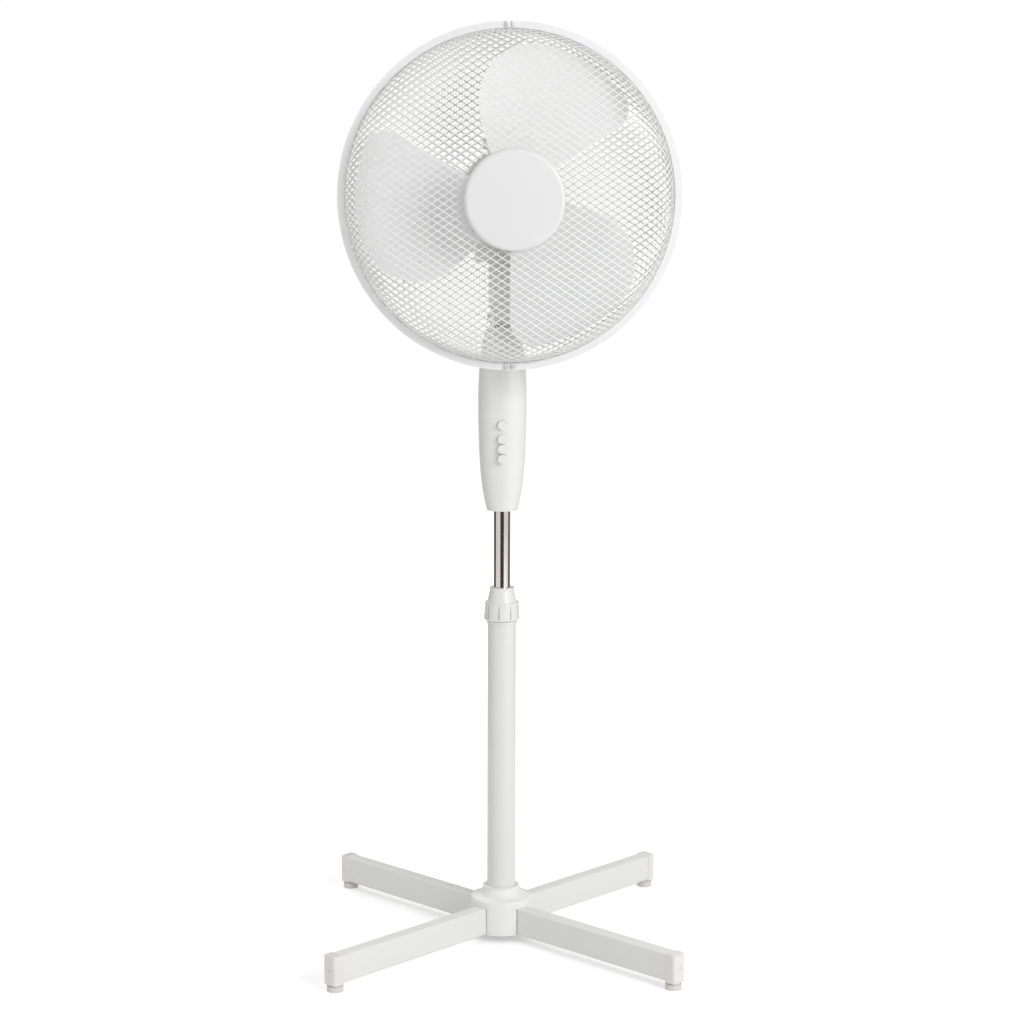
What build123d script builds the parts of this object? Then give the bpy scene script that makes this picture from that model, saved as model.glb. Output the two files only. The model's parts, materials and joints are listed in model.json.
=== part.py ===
# Pedestal fan: cross base, telescopic pole, control housing, tilting neck and oscillating guarded head.
# The origin is on the floor at the middle of the base, +Z is up and the fan blows towards -Y.
from build123d import *
from math import ceil, cos, hypot, pi, radians, sin, tan
import os

os.makedirs("parts", exist_ok=True)

# Fits
PRESS_GAP = 0.05
RUN_GAP = 0.05
SLIDE_GAP = 0.2
FREE_GAP = 0.5

# Cross base
FOOT_DIAMETER = 21
FOOT_HEIGHT = 9.6
FOOT_NECK_DIAMETER = 17
FOOT_NECK_HEIGHT = 2.4
FOOT_INSET = 10.5
LEG_LENGTH = 600
LEG_WIDTH = 20
LEG_HEIGHT = 36.5
LEG_WALL = 1.2
LEG_CORNER = 2.5
LEG_ANGLE = 46.5
LEG_ENDS = 4
LAP_GAP = 0.4
END_CAP_LENGTH = 14
END_CAP_PROUD = 0.8
END_CAP_ROUND = 4
END_CAP_TOP_ROUND = 1.6
END_CAP_PLUG_LENGTH = 20
END_CAP_MARK_DIAMETER = 4
END_CAP_MARK_DEPTH = 1
BASE_BOLT_RADIUS = 26
BASE_BOLT_DIAMETER = 5
BASE_BOLT_HEAD_WIDTH = 8
BASE_BOLT_HEAD_SIDES = 6
BASE_BOLT_HEAD_HEIGHT = 3.2
FLANGE_DIAMETER = 68
FLANGE_THICKNESS = 4
FLANGE_SPIGOT_HEIGHT = 20
FLANGE_SPIGOT_WALL = 3

# Base cover
HUB_DIAMETER = 82
HUB_WALL = 2.5
HUB_NOTCH_GAP = 1.2
BELL_RIM_DIAMETER = 83
BELL_RIM_HEIGHT = 9
BELL_RIM_ROUND = 3
BELL_FLARE_DIAMETER = 61
BELL_FLARE_ROUND = 12
BELL_HEIGHT = 24
BELL_LIP_DIAMETER = 49
BELL_LIP_HEIGHT = 4
BELL_SHOULDER_DROP = 12

# Poles and height clamp
OUTER_POLE_DIAMETER = 38
OUTER_POLE_WALL = 1.2
OUTER_POLE_LENGTH = 382.1
INNER_POLE_DIAMETER = 22
INNER_POLE_WALL = 0.8
INNER_POLE_LENGTH = 375
INNER_POLE_SHOWN = 104
INNER_POLE_GRIP = 45
GUIDE_HEIGHT = 12
GUIDE_PLUG_LENGTH = 15
GUIDE_BORE_DIAMETER = 12
SLEEVE_SPIGOT_LENGTH = 40
SLEEVE_RIM_DIAMETER = 41
SLEEVE_RIM_HEIGHT = 3
COLLET_DIAMETER = 34
COLLET_TIP_DIAMETER = 28
COLLET_STRAIGHT = 19
COLLET_TAPER = 15
COLLET_SLIT_WIDTH = 2
COLLET_SLIT_DEPTH = 24
COLLAR_BASE_DIAMETER = 48
COLLAR_BASE_ROUND = 3
COLLAR_GRIP_DIAMETER = 44.6
COLLAR_GRIP_HEIGHT = 25
COLLAR_FLUTE_COUNT = 9
COLLAR_FLUTE_ANGLE = -100
COLLAR_FLUTE_WIDTH = 2
COLLAR_FLUTE_DEPTH = 0.8
COLLAR_FLUTE_MARGIN = 3.5
COLLAR_CONE_DIAMETER = 39.5
COLLAR_CONE_HEIGHT = 15
COLLAR_LIP_DIAMETER = 33
COLLAR_LIP_HEIGHT = 4.5

# Control housing
HOUSING_FOOT_WIDTH = 40.6
HOUSING_FOOT_DEPTH = 38
HOUSING_HIP_HEIGHT = 50
HOUSING_HIP_WIDTH = 57.6
HOUSING_HIP_DEPTH = 49
HOUSING_BELLY_HEIGHT = 128
HOUSING_BELLY_WIDTH = 64
HOUSING_BELLY_DEPTH = 55
HOUSING_SHOULDER_HEIGHT = 190
HOUSING_SHOULDER_WIDTH = 61
HOUSING_SHOULDER_DEPTH = 53
HOUSING_HEIGHT = 243
HOUSING_CROWN_WIDTH = 43
HOUSING_CROWN_DEPTH = 43
HOUSING_WALL = 2.2
HOUSING_PLATE = 3
HOUSING_SEAM = 0.3
SOCKET_DIAMETER = 31
POLE_SCREW_DIAMETER = 4
POLE_SCREW_HEAD_DIAMETER = 7
POLE_SCREW_HEAD_HEIGHT = 3
POLE_SCREW_HEIGHT = 24
COVER_SCREW_DIAMETER = 3.2
COVER_SCREW_HEAD_DIAMETER = 6
COVER_SCREW_HEAD_HEIGHT = 2.4
COVER_SCREW_LENGTH = 16
COVER_SCREW_SEAT = 6
COVER_SCREW_SPREAD = 38
COVER_SCREW_LOW = 78
COVER_SCREW_HIGH = 158
BOSS_DIAMETER = 9
GLAND_HEIGHT = 58
GLAND_BORE_DIAMETER = 7.2
GLAND_DIAMETER = 12
GLAND_FLANGE_DIAMETER = 17
GLAND_FLANGE_THICKNESS = 2.5
GLAND_NOSE_LENGTH = 6
GLAND_INSIDE_LENGTH = 8
GLAND_PAD_DIAMETER = 21
GLAND_PAD_DEPTH = 5
BUTTON_DIAMETER = 12.4
BUTTON_ROUND = 1.6
BUTTON_PITCH = 13.2
BUTTON_OFF_PITCH = 18.4
BUTTON_HEIGHT = 84
BUTTON_PROUD = 4.5
BUTTON_TRAVEL = 4
BUTTON_LENGTH = 14
BUTTON_STEM_DIAMETER = 5
BUTTON_STEM_LENGTH = 9
SWITCH_WIDTH = 18
SWITCH_DEPTH = 16
SWITCH_MARGIN = 10

# Tilt joint and neck
TILT_RISE = 14
FORK_DIAMETER = 36.8
FORK_FLANGE_DIAMETER = 38.6
FORK_FLANGE_HEIGHT = 4
FORK_LEG_LENGTH = 24
CHEEK_RADIUS = 15.2
TONGUE_WIDTH = 19.8
TONGUE_RADIUS = 14
TILT_BOLT_DIAMETER = 6
TILT_BOLT_HEAD_DIAMETER = 11
TILT_BOLT_HEAD_HEIGHT = 4
TILT_BOLT_THREAD = 11
TILT_SEAT_WIDTH = 33
TILT_KNOB_DIAMETER = 26
TILT_KNOB_LENGTH = 18
TILT_KNOB_LOBES = 6
TILT_KNOB_SCALLOP = 6
TILT_KNOB_SCALLOP_LIFT = 1.5
NECK_DIAMETER = 37
NECK_SHOULDER = 17
NECK_LENGTH = 59
HEAD_TILT = 3
HEAD_YAW = 5
SHAFT_HEIGHT = 159
PIVOT_DIAMETER = 12
PIVOT_DEPTH = 46
PIVOT_LENGTH = 78
BUSH_DIAMETER = 18

# Oscillation drive
SWING_HALF_RANGE = 40
LINK_ARM = 15
LINK_LENGTH = 52
LINK_PIN_DIAMETER = 4
LINK_WIDTH = 7
LINK_THICKNESS = 3
LINK_LIFT = 1.5
LINK_EYE_DIAMETER = 18
LINK_EYE_BORE = 12.4
LINK_PIN_EYE_DIAMETER = 10
CRANK_DIAMETER = 27
CRANK_THICKNESS = 4
CRANK_LIFT = 2
CRANK_OFFSET = 3
CRANK_SHAFT_DIAMETER = 8
GEARBOX_WIDTH = 48
GEARBOX_LENGTH = 34
GEARBOX_BACK_GAP = 1
GEARBOX_BELOW = 36
GEARBOX_ABOVE = 24
GEARBOX_WALL = 3
WORM_WHEEL_DIAMETER = 14
WORM_WHEEL_HEIGHT = 10
CLUTCH_SHAFT_DIAMETER = 6
CLUTCH_SHAFT_RISE = 19
CLUTCH_OFFSET = 12
SWING_KNOB_DIAMETER = 20
SWING_KNOB_HEIGHT = 17
SWING_KNOB_STEM_DIAMETER = 6
SWING_KNOB_ROUND = 3
SWING_KNOB_GAP = 1.5

# Motor
SHAFT_DIAMETER = 8
SHAFT_BACK_LENGTH = 64
MOTOR_FACE = 38
MOTOR_COVER_DIAMETER = 116
MOTOR_COVER_WALL = 2.2
MOTOR_COVER_JOINT = 16
MOTOR_COVER_JOINT_GAP = 0.4
MOTOR_COVER_BACK = 94
MOTOR_TAIL_DIAMETER = 108
MOTOR_TAIL_LENGTH = 26
MOTOR_END_DIAMETER = 72
MOTOR_COVER_ROUND = 9
VENT_COUNT = 12
VENT_LENGTH = 17
VENT_WIDTH = 4
VENT_RADIUS = 21
SKIRT_RADIUS = 37
SKIRT_TAIL_RADIUS = 28
SKIRT_TAIL_OFFSET = 5
SKIRT_BELOW_NECK_TOP = 4
NOSE_DIAMETER = 42
NOSE_LENGTH = 13
NOSE_BORE_DIAMETER = 25
STATOR_DIAMETER = 92
STATOR_BACK = 14
STATOR_FRONT = 12
STATOR_BORE_DIAMETER = 48.8
WINDING_DIAMETER = 78
WINDING_BORE_DIAMETER = 54
WINDING_LENGTH = 12
WINDING_ROUND = 4
ROTOR_DIAMETER = 48
BRACKET_PLATE = 3
BRACKET_RIM = 3.4
BRACKET_OVERLAP = 4
BRACKET_SPACE = 15
BEARING_DIAMETER = 16
BEARING_LENGTH = 12
BEARING_BOSS_WALL = 3
BEARING_BOSS_LENGTH = 7
MOTOR_BOLT_COUNT = 4
MOTOR_BOLT_ANGLE = 45
MOTOR_BOLT_RADIUS = 42
MOTOR_BOLT_DIAMETER = 4
MOTOR_BOLT_HEAD_DIAMETER = 7
MOTOR_BOLT_HEAD_HEIGHT = 2.5
YOKE_BOSS_DIAMETER = 24
YOKE_WIDTH = 28
YOKE_THICKNESS = 5.5
YOKE_ABOVE_NECK = 8

# Guards
RING_DIAMETER = 432
RING_BAND = 8.7
RING_WIDTH = 20
RING_FORWARD = 108
RING_GROOVE_SETBACK = 3.7
RING_SPLIT_GAP = 0.6
RING_LUG_WIDTH = 14
RING_LUG_PROUD = 3
RING_SCREW_SPACING = 7
RING_SCREW_DIAMETER = 3
RING_SCREW_HEAD_DIAMETER = 5.4
RING_SCREW_HEAD_HEIGHT = 1.6
GUARD_THICKNESS = 1.4
GUARD_RIM_GAP = 0.3
GUARD_CORNER_SETBACK = 2.5
GUARD_CORNER_ROUND = 45
FRONT_GUARD_DEPTH = 54
FRONT_GUARD_CROWN = 15
FRONT_GUARD_EYE_DIAMETER = 100
FRONT_PLATE_DIAMETER = 112
REAR_GUARD_CROWN = 15
REAR_GUARD_EYE_DIAMETER = 92
REAR_PLATE_DIAMETER = 104
GUARD_PLATE_THICKNESS = 1.2
DIAMOND_WIDTH = 36
DIAMOND_HEIGHT = 24
DIAMOND_STRAND = 3
DIAMOND_FIELD_DIAMETER = 366
SIDE_WINDOW_COUNT = 44
SIDE_WINDOW_WIDTH = 24
SIDE_WINDOW_LENGTH = 22
SIDE_WINDOW_SETBACK = 18
GUARD_NUT_DIAMETER = 66
GUARD_NUT_LENGTH = 11
GUARD_NUT_SCALLOPS = 8
GUARD_NUT_SCALLOP_DIAMETER = 12
GUARD_NUT_SCALLOP_LIFT = 3
CAP_DIAMETER = 125
CAP_HEIGHT = 9
CAP_ROUND = 5
CAP_WALL = 2.4

# Propeller
BLADE_COUNT = 3
BLADE_DIAMETER = 386
BLADE_THICKNESS = 2.4
BLADE_FORWARD = 104
BLADE_ANGLE = 72
BLADE_LEAD_ANGLE = 31
BLADE_TRAIL_ANGLE = 100
BLADE_LEAD_ROUND = 30
BLADE_TRAIL_ROUND = 70
BLADE_TRAIL_BELLY_RADIUS = 116
BLADE_TRAIL_BELLY_ANGLE = 110
BLADE_ROOT_RADIUS = 24
BLADE_ROOT_SPREAD = 36
BLADE_ROOT_PITCH = 26
BLADE_MIDDLE_PITCH = 15
BLADE_TIP_PITCH = 9
BLADE_CAMBER = 6
BLADE_HUB_DIAMETER = 66
BLADE_HUB_BACK = 22
BLADE_HUB_FRONT = 18
BLADE_HUB_WALL = 3
BLADE_HUB_ROUND = 6
BLADE_SLEEVE_DIAMETER = 16
BLADE_NUT_DIAMETER = 30
BLADE_NUT_LENGTH = 16
BLADE_NUT_ROUND = 6
BLADE_NUT_THREAD = 12

# Heights that follow from the sizes
LEG_BOTTOM = FOOT_HEIGHT + END_CAP_PROUD
LEG_MIDDLE = LEG_BOTTOM + LEG_HEIGHT / 2
LEG_TOP = LEG_BOTTOM + LEG_HEIGHT
FLANGE_TOP = LEG_TOP + FLANGE_THICKNESS
POLE_TOP = FLANGE_TOP + OUTER_POLE_LENGTH
POLE_BORE = OUTER_POLE_DIAMETER / 2 - OUTER_POLE_WALL
RIM_TOP = POLE_TOP + SLEEVE_RIM_HEIGHT
COLLAR_BOTTOM = RIM_TOP + FREE_GAP
COLLAR_TOP = COLLAR_BOTTOM + COLLAR_GRIP_HEIGHT + COLLAR_CONE_HEIGHT + COLLAR_LIP_HEIGHT
HOUSING_BOTTOM = COLLAR_TOP + INNER_POLE_SHOWN
HOUSING_TOP = HOUSING_BOTTOM + HOUSING_HEIGHT
INNER_POLE_TOP = HOUSING_BOTTOM + INNER_POLE_GRIP
INNER_POLE_BOTTOM = INNER_POLE_TOP - INNER_POLE_LENGTH
TILT_HEIGHT = HOUSING_TOP + TILT_RISE
NECK_TOP = NECK_SHOULDER + NECK_LENGTH

# Frames: the neck leans about the tilt bolt, the head turns about the neck, the shaft points forward
NECK = Plane((0, 0, TILT_HEIGHT)).rotated((HEAD_TILT, 0, 0))
SWIVEL = Plane(
    NECK.origin,
    x_dir=NECK.x_dir * cos(radians(HEAD_YAW)) + NECK.y_dir * sin(radians(HEAD_YAW)),
    z_dir=NECK.z_dir,
)
HEAD = SWIVEL.offset(SHAFT_HEIGHT)
FACE = Plane(HEAD.origin, x_dir=HEAD.x_dir, z_dir=HEAD.y_dir * -1)
PROFILE = Plane(HEAD.origin, x_dir=HEAD.y_dir * -1, z_dir=HEAD.x_dir * -1)
SHAFT_AXIS = Axis(HEAD.origin, HEAD.y_dir * -1)


def save(piece, name):
    """Label a finished piece and write it as its own STEP file."""
    piece.part.label = name
    export_step(piece.part, f"parts/{name}.step")


def band(start, end, inner, outer, mode=Mode.ADD):
    """Draw a rectangle from start to end along an axis, between two radii, for turning."""
    with Locations(((start + end) / 2, (inner + outer) / 2)):
        Rectangle(end - start, outer - inner, mode=mode)


def across_leg(angle, distance):
    """Give the plane square to a leg, at a distance from the middle, with its y axis up."""
    along = Vector(cos(radians(angle)), sin(radians(angle)), 0)
    origin = along * distance + Vector(0, 0, LEG_MIDDLE)
    return Plane(origin, x_dir=(-along.Y, along.X, 0), z_dir=along)


# Leg tubes, halved into each other where they cross
LEG_END_ANGLES = [LEG_ANGLE + 360 * turn / LEG_ENDS for turn in range(LEG_ENDS)]
for name, angle, side in (("leg_tube_lower", LEG_ANGLE, 1), ("leg_tube_upper", LEG_ANGLE + 90, -1)):
    with BuildPart() as leg_tube:
        with BuildSketch(across_leg(angle, 0)):
            RectangleRounded(LEG_WIDTH, LEG_HEIGHT, LEG_CORNER)
            RectangleRounded(
                LEG_WIDTH - 2 * LEG_WALL,
                LEG_HEIGHT - 2 * LEG_WALL,
                LEG_CORNER - LEG_WALL,
                mode=Mode.SUBTRACT,
            )
        extrude(amount=LEG_LENGTH / 2, both=True)
        with BuildSketch(Plane.XY.offset(LEG_MIDDLE - side * LAP_GAP / 2)):
            Rectangle(2 * LEG_WIDTH, LEG_WIDTH + LAP_GAP, rotation=angle + 90)
        extrude(amount=side * LEG_HEIGHT, mode=Mode.SUBTRACT)
        with BuildSketch(Plane.XY):
            with PolarLocations(BASE_BOLT_RADIUS, LEG_ENDS, start_angle=LEG_ANGLE):
                Circle(BASE_BOLT_DIAMETER / 2 + SLIDE_GAP)
        extrude(amount=FLANGE_TOP, mode=Mode.SUBTRACT)
    save(leg_tube, name)

# End caps, plugged into the open ends of the leg tubes
CAP_BLOCK_WIDTH = LEG_WIDTH + 2 * END_CAP_PROUD
CAP_BLOCK_HEIGHT = LEG_HEIGHT + 2 * END_CAP_PROUD
PLUG_WIDTH = LEG_WIDTH - 2 * LEG_WALL - 2 * PRESS_GAP
PLUG_HEIGHT = LEG_HEIGHT - 2 * LEG_WALL - 2 * PRESS_GAP
with BuildPart() as leg_end_caps:
    for angle in LEG_END_ANGLES:
        middle = across_leg(angle, 0)
        with BuildSketch(across_leg(angle, LEG_LENGTH / 2)):
            Rectangle(CAP_BLOCK_WIDTH, CAP_BLOCK_HEIGHT)
        extrude(amount=END_CAP_LENGTH)
        outward = Axis(middle.origin, middle.z_dir)
        uprights = leg_end_caps.edges().filter_by(Axis.Z)
        fillet(uprights.group_by(outward)[-1], END_CAP_ROUND)
        tops = leg_end_caps.faces().filter_by(Axis.Z).group_by(Axis.Z)[-1]
        fillet(tops.sort_by(outward)[-1].edges(), END_CAP_TOP_ROUND)
        with BuildSketch(across_leg(angle, LEG_LENGTH / 2)):
            RectangleRounded(PLUG_WIDTH, PLUG_HEIGHT, LEG_CORNER - LEG_WALL)
        extrude(amount=-END_CAP_PLUG_LENGTH)
        with BuildSketch(across_leg(angle, LEG_LENGTH / 2 + END_CAP_LENGTH)):
            Circle(END_CAP_MARK_DIAMETER / 2)
        extrude(amount=-END_CAP_MARK_DEPTH, mode=Mode.SUBTRACT)
save(leg_end_caps, "leg_end_caps")

# Feet under the end caps
FOOT_RADIUS = LEG_LENGTH / 2 + END_CAP_LENGTH - FOOT_INSET
with BuildPart() as leg_feet:
    with BuildSketch(Plane.XY):
        with PolarLocations(FOOT_RADIUS, LEG_ENDS, start_angle=LEG_ANGLE):
            Circle(FOOT_DIAMETER / 2)
    extrude(amount=FOOT_HEIGHT - FOOT_NECK_HEIGHT)
    with BuildSketch(Plane.XY.offset(FOOT_HEIGHT - FOOT_NECK_HEIGHT)):
        with PolarLocations(FOOT_RADIUS, LEG_ENDS, start_angle=LEG_ANGLE):
            Circle(FOOT_NECK_DIAMETER / 2)
    extrude(amount=FOOT_NECK_HEIGHT)
save(leg_feet, "leg_feet")

# Base cover: a bell over the crossing, with a skirt between the legs
BELL_TOP = LEG_TOP + BELL_HEIGHT
RIM_HEIGHT_TOP = LEG_TOP + BELL_RIM_HEIGHT
with BuildPart() as base_cover:
    with BuildSketch(Plane.XZ):
        with BuildLine():
            flare = FilletPolyline(
                (BELL_LIP_DIAMETER / 2, BELL_TOP),
                (BELL_LIP_DIAMETER / 2, BELL_TOP - BELL_LIP_HEIGHT),
                (BELL_FLARE_DIAMETER / 2, BELL_TOP - BELL_SHOULDER_DROP),
                (BELL_RIM_DIAMETER / 2, RIM_HEIGHT_TOP),
                (BELL_RIM_DIAMETER / 2, LEG_TOP),
                radius=[0, BELL_FLARE_ROUND, BELL_RIM_ROUND],
            )
            Polyline(
                flare @ 1,
                (HUB_DIAMETER / 2, LEG_TOP),
                (HUB_DIAMETER / 2, LEG_BOTTOM),
                (HUB_DIAMETER / 2 - HUB_WALL, LEG_BOTTOM),
                (HUB_DIAMETER / 2 - HUB_WALL, FLANGE_TOP),
                (OUTER_POLE_DIAMETER / 2 + SLIDE_GAP, FLANGE_TOP),
                (OUTER_POLE_DIAMETER / 2 + SLIDE_GAP, BELL_TOP),
                flare @ 0,
            )
        make_face()
    revolve(axis=Axis.Z)
    with BuildSketch(Plane.XY.offset(LEG_BOTTOM)):
        Rectangle(BELL_RIM_DIAMETER, LEG_WIDTH + 2 * HUB_NOTCH_GAP, rotation=LEG_ANGLE)
        Rectangle(BELL_RIM_DIAMETER, LEG_WIDTH + 2 * HUB_NOTCH_GAP, rotation=LEG_ANGLE + 90)
    extrude(amount=LEG_HEIGHT, mode=Mode.SUBTRACT)
save(base_cover, "base_cover")

# Pole flange: a plate on the legs with a spigot inside the outer pole
with BuildPart() as pole_flange:
    with BuildSketch(Plane.XY.offset(LEG_TOP)):
        Circle(FLANGE_DIAMETER / 2)
        with PolarLocations(BASE_BOLT_RADIUS, LEG_ENDS, start_angle=LEG_ANGLE):
            Circle(BASE_BOLT_DIAMETER / 2 + PRESS_GAP, mode=Mode.SUBTRACT)
    extrude(amount=FLANGE_THICKNESS)
    with BuildSketch(Plane.XY.offset(FLANGE_TOP)):
        Circle(POLE_BORE - PRESS_GAP)
        Circle(POLE_BORE - PRESS_GAP - FLANGE_SPIGOT_WALL, mode=Mode.SUBTRACT)
    extrude(amount=FLANGE_SPIGOT_HEIGHT)
save(pole_flange, "pole_flange")

# Base bolts, up through the legs into the flange
with BuildPart() as base_bolts:
    with BuildSketch(Plane.XY.offset(LEG_BOTTOM - BASE_BOLT_HEAD_HEIGHT)):
        with PolarLocations(BASE_BOLT_RADIUS, LEG_ENDS, start_angle=LEG_ANGLE):
            RegularPolygon(BASE_BOLT_HEAD_WIDTH / 2, BASE_BOLT_HEAD_SIDES, major_radius=False)
    extrude(amount=BASE_BOLT_HEAD_HEIGHT)
    with BuildSketch(Plane.XY.offset(LEG_BOTTOM)):
        with PolarLocations(BASE_BOLT_RADIUS, LEG_ENDS, start_angle=LEG_ANGLE):
            Circle(BASE_BOLT_DIAMETER / 2)
    extrude(amount=LEG_HEIGHT + FLANGE_THICKNESS)
save(base_bolts, "base_bolts")

# Outer pole
with BuildPart() as outer_pole:
    with BuildSketch(Plane.XY.offset(FLANGE_TOP)):
        Circle(OUTER_POLE_DIAMETER / 2)
        Circle(POLE_BORE, mode=Mode.SUBTRACT)
    extrude(amount=OUTER_POLE_LENGTH)
save(outer_pole, "outer_pole")

# Clamp sleeve: a spigot in the outer pole, a rim on its end and a slit collet round the inner pole
SLEEVE_BORE = INNER_POLE_DIAMETER / 2 + SLIDE_GAP
COLLET_TOP = RIM_TOP + COLLET_STRAIGHT + COLLET_TAPER
with BuildPart() as clamp_sleeve:
    with BuildSketch(Plane.XZ):
        with BuildLine():
            Polyline(
                (SLEEVE_BORE, POLE_TOP - SLEEVE_SPIGOT_LENGTH),
                (POLE_BORE - PRESS_GAP, POLE_TOP - SLEEVE_SPIGOT_LENGTH),
                (POLE_BORE - PRESS_GAP, POLE_TOP),
                (SLEEVE_RIM_DIAMETER / 2, POLE_TOP),
                (SLEEVE_RIM_DIAMETER / 2, RIM_TOP),
                (COLLET_DIAMETER / 2, RIM_TOP),
                (COLLET_DIAMETER / 2, RIM_TOP + COLLET_STRAIGHT),
                (COLLET_TIP_DIAMETER / 2, COLLET_TOP),
                (SLEEVE_BORE, COLLET_TOP),
                close=True,
            )
        make_face()
    revolve(axis=Axis.Z)
    with BuildSketch(Plane.XY.offset(COLLET_TOP)):
        Rectangle(COLLET_DIAMETER, COLLET_SLIT_WIDTH)
        Rectangle(COLLET_SLIT_WIDTH, COLLET_DIAMETER)
    extrude(amount=-COLLET_SLIT_DEPTH, mode=Mode.SUBTRACT)
save(clamp_sleeve, "clamp_sleeve")

# Height collar: a fluted nut, flared at the foot and conical on top, turned by hand to grip the inner pole
GRIP_TOP = COLLAR_BOTTOM + COLLAR_GRIP_HEIGHT
FLUTE_REACH = (COLLAR_BASE_DIAMETER - COLLAR_GRIP_DIAMETER) / 2 + COLLAR_FLUTE_DEPTH
with BuildPart() as height_collar:
    with BuildSketch(Plane.XZ):
        with BuildLine():
            flank = FilletPolyline(
                (COLLET_DIAMETER / 2 + FREE_GAP, COLLAR_BOTTOM),
                (COLLAR_BASE_DIAMETER / 2, COLLAR_BOTTOM),
                (COLLAR_GRIP_DIAMETER / 2, GRIP_TOP),
                radius=COLLAR_BASE_ROUND,
            )
            Polyline(
                flank @ 1,
                (COLLAR_CONE_DIAMETER / 2, GRIP_TOP),
                (COLLAR_LIP_DIAMETER / 2, GRIP_TOP + COLLAR_CONE_HEIGHT),
                (COLLAR_LIP_DIAMETER / 2, COLLAR_TOP),
                (SLEEVE_BORE + SLIDE_GAP, COLLAR_TOP),
                (SLEEVE_BORE + SLIDE_GAP, COLLET_TOP + FREE_GAP),
                (COLLET_TIP_DIAMETER / 2 + FREE_GAP, COLLET_TOP + FREE_GAP),
                (COLLET_DIAMETER / 2 + FREE_GAP, RIM_TOP + COLLET_STRAIGHT + FREE_GAP),
                flank @ 0,
            )
        make_face()
    revolve(axis=Axis.Z)
    with BuildSketch(Plane.XY.offset(COLLAR_BOTTOM + COLLAR_FLUTE_MARGIN)):
        with PolarLocations(COLLAR_BASE_DIAMETER / 2, COLLAR_FLUTE_COUNT, start_angle=COLLAR_FLUTE_ANGLE):
            Rectangle(2 * FLUTE_REACH, COLLAR_FLUTE_WIDTH)
    extrude(amount=COLLAR_GRIP_HEIGHT - 2 * COLLAR_FLUTE_MARGIN, mode=Mode.SUBTRACT)
save(height_collar, "height_collar")

# Inner pole and the guide on its lower end
INNER_BORE = INNER_POLE_DIAMETER / 2 - INNER_POLE_WALL
POLE_SCREW_Z = HOUSING_BOTTOM + POLE_SCREW_HEIGHT
with BuildPart() as inner_pole:
    with BuildSketch(Plane.XY.offset(INNER_POLE_BOTTOM)):
        Circle(INNER_POLE_DIAMETER / 2)
        Circle(INNER_BORE, mode=Mode.SUBTRACT)
    extrude(amount=INNER_POLE_LENGTH)
    with BuildSketch(Plane.XZ.offset(-INNER_POLE_DIAMETER)):
        with Locations((0, POLE_SCREW_Z)):
            Circle(POLE_SCREW_DIAMETER / 2 + PRESS_GAP)
    extrude(amount=INNER_POLE_DIAMETER, mode=Mode.SUBTRACT)
save(inner_pole, "inner_pole")

with BuildPart() as pole_guide:
    with BuildSketch(Plane.XY.offset(INNER_POLE_BOTTOM)):
        Circle(POLE_BORE - SLIDE_GAP)
        Circle(GUIDE_BORE_DIAMETER / 2, mode=Mode.SUBTRACT)
    extrude(amount=-GUIDE_HEIGHT)
    with BuildSketch(Plane.XY.offset(INNER_POLE_BOTTOM)):
        Circle(INNER_BORE - PRESS_GAP)
        Circle(GUIDE_BORE_DIAMETER / 2, mode=Mode.SUBTRACT)
    extrude(amount=GUIDE_PLUG_LENGTH)
save(pole_guide, "pole_guide")

# Control housing: an oval shell, thick at the belly, split front from rear
HOUSING_SECTIONS = (
    (0, HOUSING_FOOT_WIDTH, HOUSING_FOOT_DEPTH),
    (HOUSING_HIP_HEIGHT, HOUSING_HIP_WIDTH, HOUSING_HIP_DEPTH),
    (HOUSING_BELLY_HEIGHT, HOUSING_BELLY_WIDTH, HOUSING_BELLY_DEPTH),
    (HOUSING_SHOULDER_HEIGHT, HOUSING_SHOULDER_WIDTH, HOUSING_SHOULDER_DEPTH),
    (HOUSING_HEIGHT, HOUSING_CROWN_WIDTH, HOUSING_CROWN_DEPTH),
)
with BuildPart() as housing_form:
    for height, width, depth in HOUSING_SECTIONS:
        with BuildSketch(Plane.XY.offset(HOUSING_BOTTOM + height)):
            Ellipse(width / 2, depth / 2)
    loft()
with BuildPart() as housing_space:
    for height, width, depth in HOUSING_SECTIONS:
        with BuildSketch(Plane.XY.offset(HOUSING_BOTTOM + height)):
            Ellipse(width / 2 - HOUSING_WALL, depth / 2 - HOUSING_WALL)
    loft()

SCREW_PLACES = [
    (side * COVER_SCREW_SPREAD / 2, HOUSING_BOTTOM + height)
    for height in (COVER_SCREW_LOW, COVER_SCREW_HIGH)
    for side in (-1, 1)
]
with BuildPart() as housing_bosses:
    with BuildSketch(Plane.XZ):
        with Locations(*SCREW_PLACES):
            Circle(BOSS_DIAMETER / 2)
    extrude(amount=HOUSING_BELLY_DEPTH, both=True)
    add(housing_form.part, mode=Mode.INTERSECT)

with BuildPart() as housing_shell:
    add(housing_form.part)
    add(housing_space.part, mode=Mode.SUBTRACT)
    with BuildSketch(Plane.XY.offset(HOUSING_BOTTOM)):
        Ellipse(HOUSING_FOOT_WIDTH / 2 - HOUSING_WALL / 2, HOUSING_FOOT_DEPTH / 2 - HOUSING_WALL / 2)
        Circle(INNER_POLE_DIAMETER / 2 + SLIDE_GAP, mode=Mode.SUBTRACT)
    extrude(amount=HOUSING_PLATE)
    with BuildSketch(Plane.XY.offset(HOUSING_TOP)):
        Ellipse(HOUSING_CROWN_WIDTH / 2 - HOUSING_WALL / 2, HOUSING_CROWN_DEPTH / 2 - HOUSING_WALL / 2)
        Circle(FORK_DIAMETER / 2 + PRESS_GAP, mode=Mode.SUBTRACT)
    extrude(amount=-HOUSING_PLATE)
    add(housing_bosses.part)

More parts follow.
